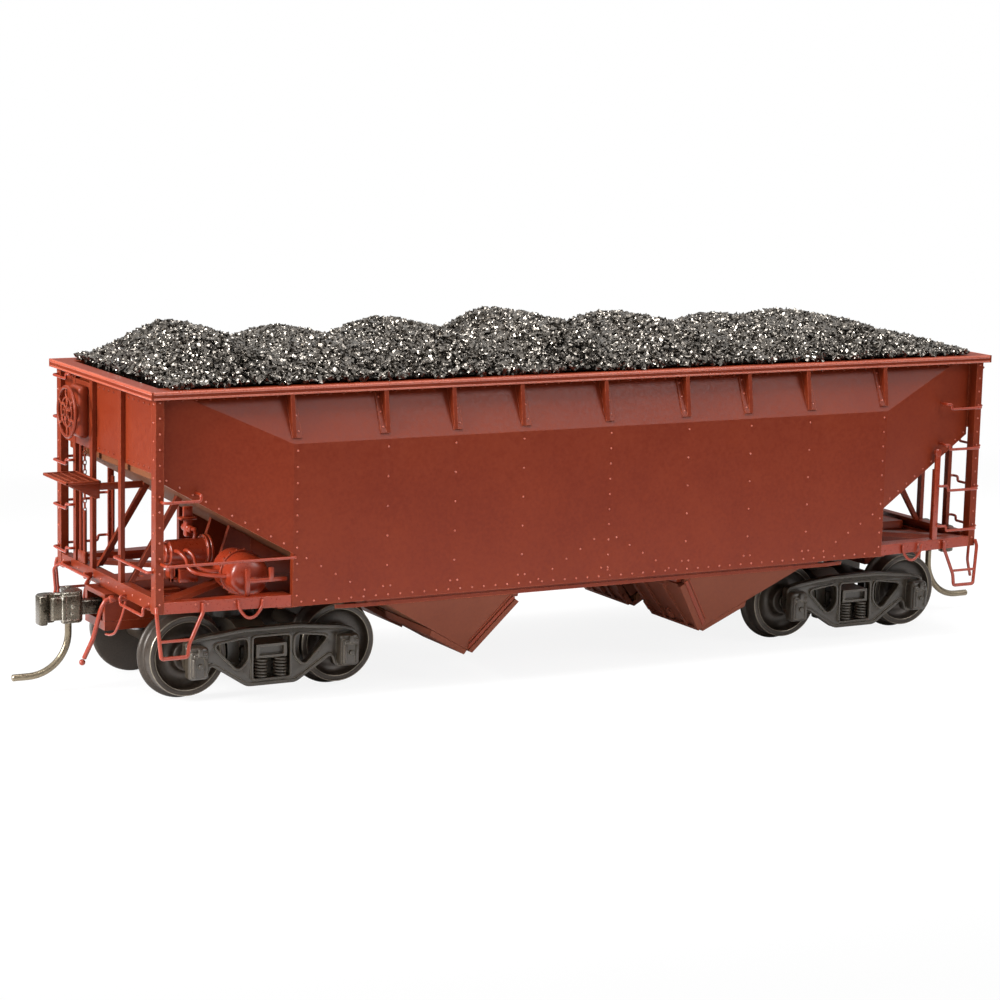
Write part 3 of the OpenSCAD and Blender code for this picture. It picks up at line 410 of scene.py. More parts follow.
def plate(outline, low, high, holes=(), bevel=0.08, place=Matrix.Identity(4)):
    """A flat plate from low to high along local Z with eased edges, and holes through it."""
    ease = bevel * 0.3
    levels = [(bevel, low), (ease, low + ease), (0, low + bevel)]
    levels += [(0, high - bevel), (ease, high - ease), (bevel, high)]
    verts, faces, caps = [], [], ([], [])
    for loop, sign in [(outline, 1)] + [(hole, -1) for hole in holes]:
        loop = counter_clockwise(loop)
        rings = []
        for d, h in levels:
            rings.append(list(range(len(verts), len(verts) + len(loop))))
            verts += [Vector((p[0], p[1], h)) for p in inset(loop, d * sign)]
        faces += [face[::sign] for face in stitched(rings)]
        caps[0].append(rings[0])
        caps[1].append(rings[-1])
    for cap, upward in zip(caps, (False, True)):
        flat = [i for ring in cap for i in ring]
        for tri in geometry.tessellate_polygon([[verts[i] for i in ring] for ring in cap]):
            a, b, c = (flat[i] for i in tri)
            up = (verts[b] - verts[a]).cross(verts[c] - verts[a]).z > 0
            faces.append([a, b, c] if up == upward else [a, c, b])
    return moved([(verts, faces)], place)


# Pieces


def shown(name, data):
    """A new object in the scene."""
    obj = bpy.data.objects.new(name, data)
    bpy.context.scene.collection.objects.link(obj)
    return obj


def dress(obj, material, body, nodes=()):
    """Gives a finished piece its material, its body and the CAD nodes that it stands for."""
    obj.data.materials.clear()
    obj.data.materials.append(material)
    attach(obj, body)
    if nodes:
        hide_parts(*nodes)


def piece(name, shapes, material, body, nodes=(), smooth=38):
    """One mesh piece in metres from a list of shapes."""
    verts, faces = [], []
    for points, polygons in shapes:
        base = len(verts)
        verts += [Vector(p) * MM for p in points]
        faces += [[base + i for i in polygon] for polygon in polygons]
    mesh = bpy.data.meshes.new(name)
    mesh.from_pydata(verts, [], faces)
    mesh.shade_smooth()
    mesh.set_sharp_from_angle(angle=math.radians(smooth))
    mesh.update()
    dress(shown(name, mesh), material, body, nodes)


def on_body(name, shapes, material, *nodes):
    """A red piece that is fixed to the car body."""
    piece(name, shapes, material, "car_body", nodes)


class ShapeNodes(Nodes):
    """A geometry tree. Its inputs are a mesh, numbers or counts with their defaults, and a material."""

    def __init__(self, name, inputs):
        super().__init__(bpy.data.node_groups.new(name, "GeometryNodeTree"))
        sockets = self.tree.interface
        sockets.new_socket("Geometry", in_out="INPUT", socket_type="NodeSocketGeometry")
        for label, value in inputs.items():
            kind = "NodeSocketInt" if isinstance(value, int) else "NodeSocketFloat"
            sockets.new_socket(label, in_out="INPUT", socket_type=kind).default_value = value
        sockets.new_socket("Material", in_out="INPUT", socket_type="NodeSocketMaterial")
        sockets.new_socket("Geometry", in_out="OUTPUT", socket_type="NodeSocketGeometry")
        self.inputs = self.add("NodeGroupInput").outputs

    def __getitem__(self, label):
        return self.inputs[label]

    def set_on(self, points, thing, **links):
        """The thing on each of the points."""
        return self.add("GeometryNodeInstanceOnPoints", {"Points": points, "Instance": thing, **links})

    def smoothed(self, shape, **links):
        """The shape with smooth faces, or flat ones if links says so."""
        return self.add("GeometryNodeSetShadeSmooth", {"Geometry": shape, **links})

    def close(self, shape):
        """Ends the tree in real faces with one material."""
        real = self.add("GeometryNodeRealizeInstances", {"Geometry": shape})
        painted = self.add("GeometryNodeSetMaterial", {"Geometry": real, "Material": self["Material"]})
        self.add("NodeGroupOutput", {"Geometry": painted})

    def grow(self, name, mesh, material, body="car_body", slot="body_red", nodes=(), **values):
        """Runs the tree on a mesh, keeps the result as a plain mesh, and dresses it."""
        obj = shown(name, mesh)
        modifier = obj.modifiers.new("build", "NODES")
        modifier.node_group = self.tree
        values["Material"] = material
        for item in self.tree.interface.items_tree:
            if item.in_out == "INPUT" and item.name in values:
                modifier[item.identifier] = values[item.name]
        bpy.context.view_layer.update()
        evaluated = obj.evaluated_get(bpy.context.evaluated_depsgraph_get())
        made = bpy.data.meshes.new_from_object(evaluated)
        obj.modifiers.remove(modifier)
        obj.data = made
        made.name = name
        dress(obj, material, body, nodes)


def point_mesh(name, points, facings=()):
    """Loose points in metres, with the direction that each one faces where that matters."""
    mesh = bpy.data.meshes.new(name)
    mesh.from_pydata([Vector(p) * MM for p in points], [], [])
    if facings:
        facing = mesh.attributes.new("facing", "FLOAT_VECTOR", "POINT")
        for item, direction in zip(facing.data, facings):
            item.vector = Vector(direction).normalized()
    return mesh


# Rivets

rivet = ShapeNodes("rivet_heads", {"Head diameter": 0.4 * MM, "Head height": 0.16 * MM})
head = rivet.add("GeometryNodeMeshUVSphere", {"Segments": 8, "Rings": 5, "Radius": 1.0})
head_r = rivet.number("MULTIPLY", rivet["Head diameter"], 0.5)
head_size = rivet.add("ShaderNodeCombineXYZ", {"X": head_r, "Y": head_r, "Z": rivet["Head height"]})
facing = rivet.add("GeometryNodeInputNamedAttribute", {"Name": "facing"}, data_type="FLOAT_VECTOR")
head_turn = rivet.add("FunctionNodeAlignRotationToVector", {"Vector": facing.outputs["Attribute"]}, axis="Z")
rivet.close(rivet.smoothed(rivet.set_on(rivet["Geometry"], head, Rotation=head_turn, Scale=head_size)))


def rivets(name, rows, diameter=0.27, height=0.11, material=HIGHLIGHT_RED):
    """Domed heads on the car body at (point, facing) pairs."""
    values = {"Head diameter": diameter * MM, "Head height": height * MM}
    rivet.grow(name, point_mesh(name, *zip(*rows)), material, **values)


def spaced(low, high, step):
    """Evenly spaced values from low to high, about step apart."""
    count = max(1, round((high - low) / step))
    return [low + (high - low) * i / count for i in range(count + 1)]


def side_rivets():
    """Heads on the right side, in the order sheet, strip, wings, posts and sills."""
    out = (0, -1, 0)
    y = -HALF_W
    rows = []
    for x in (-SEAM_X + 0.5, 0.45, SEAM_X - 0.5):
        rows += [((x, y, z), out) for z in spaced(13.4, 30.5, 1.93)]
    for x in GUSSET_X[1:4] + GUSSET_X[5:8]:
        rows += [((x, y, z), out) for z in spaced(16.2, 30.4, 3.6)]
    rows += [((x, y, SHEET_Z + 0.55), out) for x in spaced(-41.2, 41.2, 1.62)]
    rows += [((x + dx, y, SHEET_Z + 1.6), out) for x in GUSSET_X[1:8] for dx in (-0.48, 0.48)]
    for side in (-1, 1):
        rows += [((side * x, y, RIDGE_Z - 0.5 - SLOPE * x), out) for x in spaced(1.6, 9.4, 1.9)]
        rows += [((side * x, y, slope_at(x) + 0.3), out) for x in spaced(33, 40.6, 1.9)]
    tilt = (0, -1, LEAN)
    for x in GUSSET_X:
        side = 1 if x <= 0 else -1
        if x in (GUSSET_X[1], GUSSET_X[-2]):
            side = -side
        rows += [((x + side * 0.6, -strip_y(z) - 0.2, z), tilt) for z in (32.7, 34.4, 36.1)]
    for side in (-1, 1):
        away = (side * TAPER, -1, 0)
        rows += [((side * x, -wing_y(x), slope_at(x) + 0.62), away) for x in spaced(43.4, 57.0, 1.45)]
        rows += [((side * (HALF_L - 0.5), -CORNER_Y, z), out) for z in spaced(13.3, 36.6, 1.75)]
        rows += [((side * x, -sill_y(x), SILL_RIVET_Z), out) for x in (48.8, 49.3, 52.5, 54.0)]
    return rows


def rim_rivets():
    """Heads in a row under the rim on the right side and along the panel edges of the A end."""
    z = RIM_Z - RIM_LIP - 0.3
    rows = [((x, -strip_y(z), z), (0, -1, LEAN)) for x in spaced(-43.5, 43.5, 1.7)]
    for side in (-1, 1):
        for x in spaced(45.2, 56.9, 1.7):
            rows.append(((side * x, -min(wing_y(x), strip_y(z)), z), (side * TAPER, -1, 0)))
    for height in (slope_at(WING_X) + 1.5, 36.0):
        rows += [((PANEL_FACE_X, y, height), (1, 0, 0)) for y in spaced(-14.4, 14.4, 1.6)]
    return rows


def end_rivets():
    """Heads on the A end: corner posts and the end sill."""
    out = (1, 0, 0)
    rows = [((HALF_L, y, z), out) for y in (-15.7, 15.7) for z in spaced(15.2, 36.4, 2.1)]
    return rows + [((HALF_L - 0.05, y, SILL_RIVET_Z), out) for y in spaced(-14.2, 14.2, 2.6)]


def half_turned(rows):
    """The heads and a copy turned half round to the other end."""
    return rows + [((-p[0], -p[1], p[2]), (-f[0], -f[1], f[2])) for p, f in rows]


# The body rivets take the paler lacquer, a painted highlight.
rivets("body_rivets", half_turned(side_rivets() + end_rivets()))
rivets("rim_rivets", half_turned(rim_rivets()), 0.3, 0.14, OXIDE_RED)


# Coal

LOAD_X, LOAD_Y, LOAD_Z = WING_X - 0.6, RIM_IN - 0.3, 33.15
HEAP_X = (-48.1, -33.4, -18.9, -2.7, 14.7, 31.0, 42.1)
HEAP_H = (3.5, 2.3, 3.0, 3.9, 2.8, 2.0, 2.2)
HUMP_W, RIDGE_H, FOOT_H = 5.4, 1.8, 0.15
SIDE_POWER, END_POWER = 4.3, 21
BRIM_Y, BRIM_Z = RIM_Y - 0.7, RIM_Z + 0.3
LUMP, LUMPS_PER_MM2 = 0.7, 2.9
EDGE_DEPTH, CREST_Z = 0.18, 43.1
LUMP_LEAST, LUMP_MOST, FULL_TURN = (0.5, 0.5, 0.45), (1.9, 1.6, 1.3), (6.28, 6.28, 6.28)


def heap(x, y):
    """Height of the coal: seven humps over a flat ridge that falls off to the sides and ends."""
    across = 1 - abs(y / BRIM_Y) ** SIDE_POWER
    ends = 1 - abs(x / (LOAD_X + 0.4)) ** END_POWER
    humps = sum(h * math.exp(-(((x - c) / HUMP_W) ** 2)) for c, h in zip(HEAP_X, HEAP_H))
    return BRIM_Z + FOOT_H + across * ends * (RIDGE_H + humps)


def coal_bed():
    """The heap under the lumps, a little lower than its CAD solid, with a brim, walls and a floor."""
    nx, ny = 150, 38
    row = ny + 1
    reach_x, reach_y, sunk = LOAD_X - LUMP * 0.6, BRIM_Y - LUMP * 0.6, LUMP * 0.7
    verts = []
    for i in range(nx + 1):
        for j in range(row):
            x, y = reach_x * (2 * i / nx - 1), reach_y * (2 * j / ny - 1)
            z = min(max(heap(x, y) - sunk, BRIM_Z + EDGE_DEPTH), CREST_Z)
            verts.append(Vector((x, y, z)) * MM)
    starts = [i * row + j for i in range(nx) for j in range(ny)]
    faces = [[k, k + row, k + row + 1, k + 1] for k in starts]
    rim = [i * row for i in range(nx + 1)] + [nx * row + j for j in range(1, ny + 1)]
    rim += [i * row + ny for i in range(nx - 1, -1, -1)] + [j for j in range(ny - 1, 0, -1)]
    count = len(rim)
    ring = rim
    narrow_x, narrow_y = 0.995, LOAD_Y / BRIM_Y
    for share_x, share_y, z in ((1, 1, BRIM_Z), (narrow_x, narrow_y, BRIM_Z), (narrow_x, narrow_y, LOAD_Z)):
        base = len(verts)
        verts += [Vector((verts[k].x * share_x, verts[k].y * share_y, z * MM)) for k in rim]
        for k in range(count):
            n = (k + 1) % count
            faces.append([ring[k], base + k, base + n, ring[n]])
        ring = [base + k for k in range(count)]
    faces.append(ring[::-1])
    mesh = bpy.data.meshes.new("coal_bed")
    mesh.from_pydata(verts, [], faces)
    return mesh


coal = ShapeNodes(
    "coal_lumps", {"Lump size": LUMP * MM, "Lumps per square metre": LUMPS_PER_MM2 / MM**2, "Seed": 11}
)
bed_height = coal.add("ShaderNodeSeparateXYZ", {0: coal.add("GeometryNodeInputPosition")}).outputs["Z"]
wall_top = (BRIM_Z + 0.9 * EDGE_DEPTH) * MM
on_top = coal.add("FunctionNodeCompare", {0: bed_height, 1: wall_top}, operation="GREATER_THAN")
bed = {"Mesh": coal["Geometry"], "Selection": on_top, "Density": coal["Lumps per square metre"]}
scatter = coal.add("GeometryNodeDistributePointsOnFaces", {**bed, "Seed": coal["Seed"]})
kinds = []
for kind in range(4):
    stone = coal.add("GeometryNodeMeshCube", {"Size": (0.8, 0.8, 0.8)})
    place = coal.vector("ADD", coal.add("GeometryNodeInputPosition"), (3.1 * kind, 1.7, 0.4))
    ragged = coal.add("ShaderNodeTexNoise", {"Vector": place, "Scale": 2.3, "Detail": 1.0})
    centred = coal.vector("SUBTRACT", ragged.outputs["Color"], HALVES)
    offset = coal.vector("SCALE", centred, Scale=1.3)
    broken = coal.add("GeometryNodeSetPosition", {"Geometry": stone, "Offset": offset})
    facets = coal.smoothed(broken, **{"Shade Smooth": False})
    kinds.append(coal.add("GeometryNodeGeometryToInstance", {"Geometry": facets}))
choice = coal.add("GeometryNodeJoinGeometry", {0: kinds})
spin, bulk = (
    coal.add("FunctionNodeRandomValue", {"Min": low, "Max": high, "Seed": seed}, data_type="FLOAT_VECTOR")
    for low, high, seed in (((0, 0, 0), FULL_TURN, 3), (LUMP_LEAST, LUMP_MOST, 5))
)
lump_size = coal.vector("SCALE", bulk, Scale=coal["Lump size"])
lumps = coal.set_on(scatter, choice, Rotation=spin, Scale=lump_size, **{"Pick Instance": True})
tone = coal.add("FunctionNodeRandomValue", {2: 0.1, 3: 1.0, "Seed": 7}, data_type="FLOAT").outputs[1]
named = {"Geometry": lumps, "Name": "lump_tone", "Value": tone}
toned = coal.add("GeometryNodeStoreNamedAttribute", named, data_type="FLOAT", domain="INSTANCE")
coal.close(coal.add("GeometryNodeJoinGeometry", {0: [toned, coal["Geometry"]]}))
coal.grow("coal_lumps", coal_bed(), ANTHRACITE, "coal_load", "coal", ["coal_load"])


# Beads, webs and wire fittings of the body


def rim_beads():
    """Half-round beads along the top and the foot of the rim, right round the car."""
    shapes = []
    for d, z, sunk in ((0.44, RIM_Z - 0.2, 0.12), (0.3, RIM_Z - RIM_LIP + 0.14, 0.08)):
        x, y = RIM_X - sunk, RIM_Y - sunk
        shapes += tube([(0, -y, z), (x, -y, z), (x, y, z), (-x, y, z), (-x, -y, z), (0, -y, z)], d, 0.4)
    return shapes


def slope_seams():
    """A bead of filler along the joint of each slope sheet and its end panel."""
    half, bead, z = 14.3, 0.36, slope_at(WING_X) + 0.9
    return both_ends(tube([(WING_X, -half, z), (WING_X, half, z)], bead))


def sill_webs():
    """Plates along the centre sill that carry the bolster webs on under the slope sheets."""
    near, far, low, gap = 33.4, 41.4, 13.0, 0.08
    outline = [(near, low), (far, low), (far, slope_at(far) - gap), (near, slope_at(near) - gap)]
    return four_corners(plate(outline, 2.55, 3.05, place=UPRIGHT))


def ladders():
    """Side and end ladder at the right corner of the A end, repeated half round."""
    foot_z = SILL_Z + 0.03
    shapes = block((51.2, -16.95, foot_z), (52.0, -16.6, 25.1))
    shapes += block((51.3, -16.65, foot_z + 0.05), (51.6, -16.1, 22.95))
    cap = [(0, 0), (0.42, 0), (0.5, 0.1), (0.5, 0.45), (0.42, 0.55), (0, 0.55)]
    shapes += lathe(cap, axis_y(51.6, -17, 25.2), 20)
    end_x, side_y, rise = END_WIRE_X, -17.3, 0.65
    for z in RUNG_Z:
        up = z + rise
        from_x, from_y = (52.5, -wing_y(52.5)) if z > 24 else (51.9, -16.6)
        path = [(from_x, from_y, up), (from_x, side_y, up), (53.1, side_y, up), (53.1, side_y, z)]
        shapes += tube(path + [(POST_WIRE_X, side_y, z), (POST_WIRE_X, -CORNER_Y, z)], WIRE)
    for z in RUNG_Z + (TOP_RUNG_Z,):
        up = z + rise
        path = [(HALF_L, -10.2, up), (end_x, -10.2, up), (end_x, -11.2, up), (end_x, -11.2, z)]
        shapes += tube(path + [(end_x, -15.6, z), (HALF_L, -15.6, z)], WIRE)
    return both_ends(shapes)


def hand_holds():
    """Grab irons at the corner with no ladder, drawn for the left corner of the A end."""
    end_x, last_x, short_x, short_y, hold_y = END_WIRE_X, POST_WIRE_X, 53.6, 17.2, 4.95
    seam = SEAM_X - 0.2
    shapes = tube([(last_x, CORNER_Y, 18), (last_x, 18.05, 18), (seam, 18.05, 18), (seam, HALF_W, 18)], WIRE)
    path = [(last_x, CORNER_Y, 25.2), (last_x, short_y, 25.2), (short_x, short_y, 25.2)]
    shapes += tube(path + [(short_x, short_y, 25.9), (short_x, wing_y(short_x), 25.9)], WIRE)
    shapes += tube([(HALF_L, hold_y, 17), (end_x, hold_y, 17), (end_x, 15.5, 17), (HALF_L, 15.5, 17)], WIRE)
    path = [(HALF_L, 7, 12.7), (end_x, 7, 12.7), (end_x, 7, 11.7), (end_x, 14.2, 11.7)]
    shapes += tube(path + [(end_x, 14.2, 12.7), (HALF_L, 14.2, 12.7)], WIRE)
    return both_ends(shapes)


def corner_steps():
    """Stirrup steps: the outer leg bends in to the corner post, the inner leg runs up the sill."""
    y, leg_x = 17.0, 58.35
    path = [(leg_x + 0.4, 16.5, 13.0), (leg_x + 0.5, 16.8, 12.2), (leg_x, y, 7.1), (55.1, y, 7.1)]
    path += [(54.9, y, 8.6), (53.6, y, 11.4), (53.2, y, 12.2), (53.2, y, 13.2)]
    shapes = tube(path, 0.46, 0.3)
    return four_corners(shapes + tube([(54.9, y, 9.1), (leg_x, y, 9.1)], WIRE))


def tow_loops():
    """Rope loops under the sills, each leg run up the face of the sill."""
    half = [(1.5, 13.2), (1.4, 12.3), (0.95, 11.7), (0.55, 11.3), (0, 11.15)]
    path = half + [(-x, z) for x, z in half[-2::-1]]
    return four_corners(tube([(47.5 + x, 17.55, z) for x, z in path], WIRE, 0.35))


def cut_levers():
    """Uncoupling levers along the end sills, each with a hanging handle and two brackets."""
    lever_x = HALF_L + 1
    path = [(60.9, -0.6, 12.85), (lever_x, -2.4, 13.1), (lever_x, -12.6, 13.1), (lever_x + 0.6, -13.2, 12.4)]
    shapes = tube(path + [(lever_x + 0.3, -13.4, 9.6), (lever_x + 0.9, -13.4, 7.4)], 0.42)
    for y in (-12, -4.4):
        shapes += block((HALF_L, y, 12.7), (lever_x + 0.1, y + 0.5, 13.5), 0.12)
    return both_ends(shapes)


# The rim beads take the paler lacquer, a painted highlight along the rim.
on_body("rim_beads", rim_beads(), HIGHLIGHT_RED)
on_body("slope_seams", slope_seams(), OXIDE_RED)
on_body("sill_webs", sill_webs(), OXIDE_RED)
# The wire fittings take the brighter copy of the red, which paints the light on them.
on_body("ladder_bars", ladders(), LIT_RED, "ladders")
on_body("hand_hold_wires", hand_holds(), LIT_RED, "grab_irons")
on_body("corner_steps", corner_steps(), LIT_RED, "sill_steps")
on_body("tow_loop_wires", tow_loops(), LIT_RED, "tow_loops")
on_body("cut_lever_rods", cut_levers(), LIT_RED, "uncoupling_levers")


# Brake gear

CYLINDER_Y, CYLINDER_Z = -5, 17
TANK_R, RING_R = 2.45, 2.7
TANK_PLACE = Matrix.Translation((-46.2, -7.7, 15.4)) @ Matrix.Rotation(math.pi / 2, 4, "X")
WHEEL_AT = (-61.0, 6.7, 32.7)
DECK_X, DECK_Y, DECK_Z = (-63.2, -HALF_L - 0.05), (0.9, 9.1), 25.1
ROD_X = -58.53


def brake_cylinder():
    """Cylinder along X with a double bolted joint near its pressure head, on floor brackets."""
    profile = [(0, -1.3), (0.3, -1.3), (0.35, -1.25), (0.35, -0.5), (1.1, -0.5), (1.2, -0.42), (1.2, 0)]
    profile += [(1.45, 0), (1.55, 0.1), (1.55, 4.55), (1.88, 4.55), (1.95, 4.62), (1.95, 4.83), (1.88, 4.9)]
    profile += [(1.7, 4.9), (1.7, 5), (1.88, 5), (1.95, 5.07), (1.95, 5.28), (1.88, 5.35), (1.1, 5.35)]
    profile += [(1.1, 5.65), (1, 5.75), (0, 5.75)]
    shapes = lathe(profile, axis_x(-52.9, CYLINDER_Y, CYLINDER_Z))
    floor_z = 13.43
    shapes += block((-51.6, -6, floor_z), (-49.2, -1.4, 15), 0.12)
    shapes += block((-51.6, -5.6, floor_z), (-49.2, -4.4, 16), 0.12)
    shapes += block((-52.5, -5.3, floor_z), (-52, -4.7, 16.5), 0.1)
    return shapes + block((-52.5, -5.3, floor_z), (-51.5, -4.7, 14), 0.1)


def air_tank():
    """Domed tank lying across the car, with a joint ring and brackets to the side sill."""
    length, dome = 7.6, 1.3
    bend = [math.pi / 2 * i / 10 for i in range(11)]
    profile = [(TANK_R * math.sin(a), dome - dome * math.cos(a)) for a in bend]
    profile += [(TANK_R, 3.6), (2.62, 3.6), (RING_R, 3.68), (RING_R, 3.97), (2.62, 4.05), (TANK_R, 4.05)]
    profile += [(TANK_R * math.cos(a), length - dome + dome * math.sin(a)) for a in bend[:-1]] + [(0, length)]
    shapes = lathe(profile, TANK_PLACE, 48)
    near, far = -16.5, -16.05
    shapes += block((-47.65, near, SILL_Z + 0.03), (-47.1, far, 16.7), 0.08)
    shapes += block((-44.65, near, 15), (-44.1, far, 16.7), 0.08)
    shapes += block((-47.6, near + 0.05, 15), (-42.4, far - 0.05, 15.5), 0.08)
    return shapes + block((-46.6, near + 0.1, 15.05), (-45.8, -14.6, 15.45), 0.08)


def joint_bolts():
    """Heads round the tank's joint ring and on both faces of the brake cylinder's joint."""
    rows = []
    for i in range(18):
        turn = 2 * math.pi * i / 18
        out = Vector((math.cos(turn), math.sin(turn), 0))
        rows.append((TANK_PLACE @ (out * RING_R + Vector((0, 0, 3.83))), TANK_PLACE.to_3x3() @ out))
    bolt_r = 1.75
    for i in range(8):
        turn = 2 * math.pi * (i + 0.5) / 8
        y, z = CYLINDER_Y + bolt_r * math.cos(turn), CYLINDER_Z + bolt_r * math.sin(turn)
        rows += [((x, y, z), (facing, 0, 0)) for x, facing in ((-48.35, -1), (-47.55, 1))]
    return rows


def control_valve():
    """Small valve body hung under the slope sheet by a flanged bracket."""
    shapes = block((-49.4, -2.5, 18.2), (-48.4, -1.5, 20.5), 0.22, 3)
    shapes += block((-50.1, -2.6, 20.3), (-48, -1.4, 20.6), 0.08)
    shapes += block((-49.6, -2.2, 20.5), (-48.4, -1.8, slope_at(48.4) - 0.03), 0.08)
    cap = [(0, 0), (0.35, 0), (0.45, 0.1), (0.45, 2.5), (0.35, 2.6), (0, 2.6)]
    return shapes + lathe(cap, axis_y(-48.9, -3.3, 19.2), 24)


def air_pipes():
    """Two bent pipes from cylinder to tank, one from valve to cylinder, and the train pipe at each end."""
    width, bend = 0.5, 0.9
    first = [(-52.3, -6.2, 17.4), (-52.4, -7.6, 17.6), (-51.9, -9, 16.8), (-52.3, -10, 16)]
    second = [(-51.2, -6.3, 17.3), (-51.3, -7.4, 17.7), (-50.8, -8.5, 17.1), (-51.1, -9.4, 16.2)]
    third = [(-48.9, -3.1, 19.2), (-48.9, -4.2, 19.5), (-49.2, -4.9, 19), (-49.4, -5, 18.3)]
    train = [(58.7, PIPE_Y, PIPE_Z), (50.6, PIPE_Y, PIPE_Z), (49.1, 2.6, PIPE_Z)]
    shapes = tube(first + [(-51.6, -11, 15.5), (-50, -12.2, 15.35), (-48.4, -13, 15.35)], width, bend)
    shapes += tube(second + [(-50.4, -10.2, 15.7), (-49.5, -10.9, 15.6), (-48.4, -11.1, 15.6)], width, bend)
    return shapes + tube(third, width, bend) + both_ends(tube(train, width, bend))


def air_hoses():
    """Cast hose with its cock at the end sill and a round coupling at the foot, and a bent wire beside it."""
    path = [(HALF_L + 0.3, PIPE_Y, PIPE_Z), (60.2, PIPE_Y, 11.9), (60.8, 4.2, 10.8), (61.5, 3.4, 7)]
    ball_r = 0.375
    turn = [math.pi * i / 10 for i in range(1, 10)]
    ball = [(0, -ball_r)] + [(ball_r * math.sin(a), -ball_r * math.cos(a)) for a in turn] + [(0, ball_r)]
    shapes = tube(path + [(62.4, 2.8, 4.6)], 0.55, 0.7, 12)
    shapes += lathe(ball, Matrix.Translation((62.6, 2.7, 4.1)), 20)
    nut = [(0, -0.3), (0.42, -0.3), (0.48, -0.22), (0.48, 0.22), (0.42, 0.3), (0, 0.3)]
    shapes += lathe(nut, axis_x(59.6, PIPE_Y, 11.8), 6)
    hook = [(59.3, 8.2, 12.2), (59.6, 8.0, 10.6), (60, 6.7, 8.2), (60, 4.8, 7.6), (60, 3.6, 7.5)]
    return both_ends(shapes + tube(hook, 0.3, 0.7))


def gear_case():
    """Back plate, rounded gear case, its boss and the wheel spindle with a square nut."""
    x, y, z = WHEEL_AT
    shapes = block((-HALF_L, 4.95, 28.4), (-HALF_L + 0.55, 9.75, 36.3), 0.08)
    shapes += block((x + 0.9, 5, 29.6), (-HALF_L + 0.1, 8.6, 35.9), 0.55, 4)
    boss = [(0, 0), (1.2, 0), (1.5, 0.15), (1.5, 0.6), (0, 0.6)]
    shapes += lathe(boss, axis_x(x + 0.6, y, z), 28)
    shapes += block((x - 0.5, y - 0.3, z - 0.3), (x - 0.32, y + 0.3, z + 0.3), 0.05)
    return shapes + lathe([(0, 0), (0.36, 0), (0.42, 0.08), (0.42, 1.2), (0, 1.2)], axis_x(x - 0.5, y, z), 20)


def brake_rods():
    """Pull rod, the rod under the chain, and the crank box on the end sill."""
    shapes = tube([(ROD_X, 8.6, 28.3), (ROD_X, 8.6, 15.2)], 0.45)
    shapes += tube([(ROD_X, 7.3, 20.4), (ROD_X, 7.3, 14.6)], 0.5)
    return shapes + block((ROD_X - 0.25, 6.8, 13.95), (ROD_X + 0.25, 9.2, 15.4), 0.12)


def hand_wheel():
    """Hand wheel about local Z: a round rim, a bored hub, an inner ring and bent spokes."""
    place = axis_x(*WHEEL_AT)
    turn = [2 * math.pi * i / 14 for i in range(15)]
    rim = [(3 + 0.22 * math.cos(a), 0.22 * math.sin(a)) for a in turn]
    inner = [(1.75 + 0.13 * math.cos(a), 0.13 * math.sin(a)) for a in turn]
    rim[-1], inner[-1] = rim[0], inner[0]
    hub = [(0.5, -0.28), (0.66, -0.28), (0.72, -0.2), (0.72, 0.2), (0.66, 0.28), (0.5, 0.28), (0.5, -0.28)]
    shapes = lathe(rim, place, 56) + lathe(inner, place, 40) + lathe(hub, place, 24)
    for i in range(6):
        path = [(0.6, 0, 0), (1.15, 0.42, 0), (1.8, -0.1, 0), (2.35, -0.35, 0), (2.95, 0, 0)]
        shapes += moved(tube(path, 0.3, 0.35, 8), place @ Matrix.Rotation(i * math.pi / 3, 4, "Z"))
    return shapes


def brake_step():
    """Border, gussets and tail bar of the brakeman's deck."""
    shapes = []
    (near_x, far_x), (near_y, far_y), rail, low_z = DECK_X, DECK_Y, 0.3, DECK_Z - 0.35
    for y in (near_y, far_y - rail):
        shapes += block((near_x, y, low_z), (far_x, y + rail, DECK_Z), 0.06)
    for x in (near_x, far_x - rail):
        shapes += block((x, near_y, low_z), (x + rail, far_y, DECK_Z), 0.06)
    top_z, foot_z, tail_z = DECK_Z - 0.3, DECK_Z - 2.2, DECK_Z - 1.2
    gusset = [(near_x + 0.2, top_z), (far_x, top_z), (far_x, foot_z), (far_x - 0.6, foot_z)]
    for y in (1.3, 8.3):
        shapes += plate(gusset, y, y + 0.4, bevel=0.06, place=UPRIGHT)
    tail_x, root_x = -53.4, far_x - 0.2
    tail = [(root_x, tail_z), (tail_x, tail_z), (tail_x, slope_at(tail_x) - 0.05), (root_x, low_z)]
    return shapes + plate(tail, 1.3, 1.7, bevel=0.06, place=UPRIGHT)


# Deck grating: crossed bars set out by a geometry tree on the middle point of the deck
grating = ShapeNodes(
    "deck_grating",
    {"Length": 4.1 * MM, "Width": 7.8 * MM, "Bar": 0.16 * MM, "Long bars": 13, "Cross bars": 5},
)
bars = []
for count, run, spread, along, across in (
    ("Long bars", "Length", "Width", "X", "Y"),
    ("Cross bars", "Width", "Length", "Y", "X"),
):
    sizes = {along: grating[run], across: grating["Bar"], "Z": grating["Bar"]}
    bar = grating.add("GeometryNodeMeshCube", {"Size": grating.add("ShaderNodeCombineXYZ", sizes)})
    halves = [grating.number("MULTIPLY", grating[spread], share) for share in (-0.5, 0.5)]
    start, finish = (grating.add("ShaderNodeCombineXYZ", {across: half}) for half in halves)
    ends = {"Count": grating[count], "Start Location": start, "Offset": finish}
    bars.append(grating.set_on(grating.add("GeometryNodeMeshLine", ends, mode="END_POINTS"), bar))
grating.close(grating.set_on(grating["Geometry"], grating.add("GeometryNodeJoinGeometry", {0: bars})))
deck_middle = (sum(DECK_X) / 2, sum(DECK_Y) / 2, DECK_Z - 0.16)
grating.grow("deck_grating", point_mesh("deck_grating", [deck_middle]), OXIDE_RED)

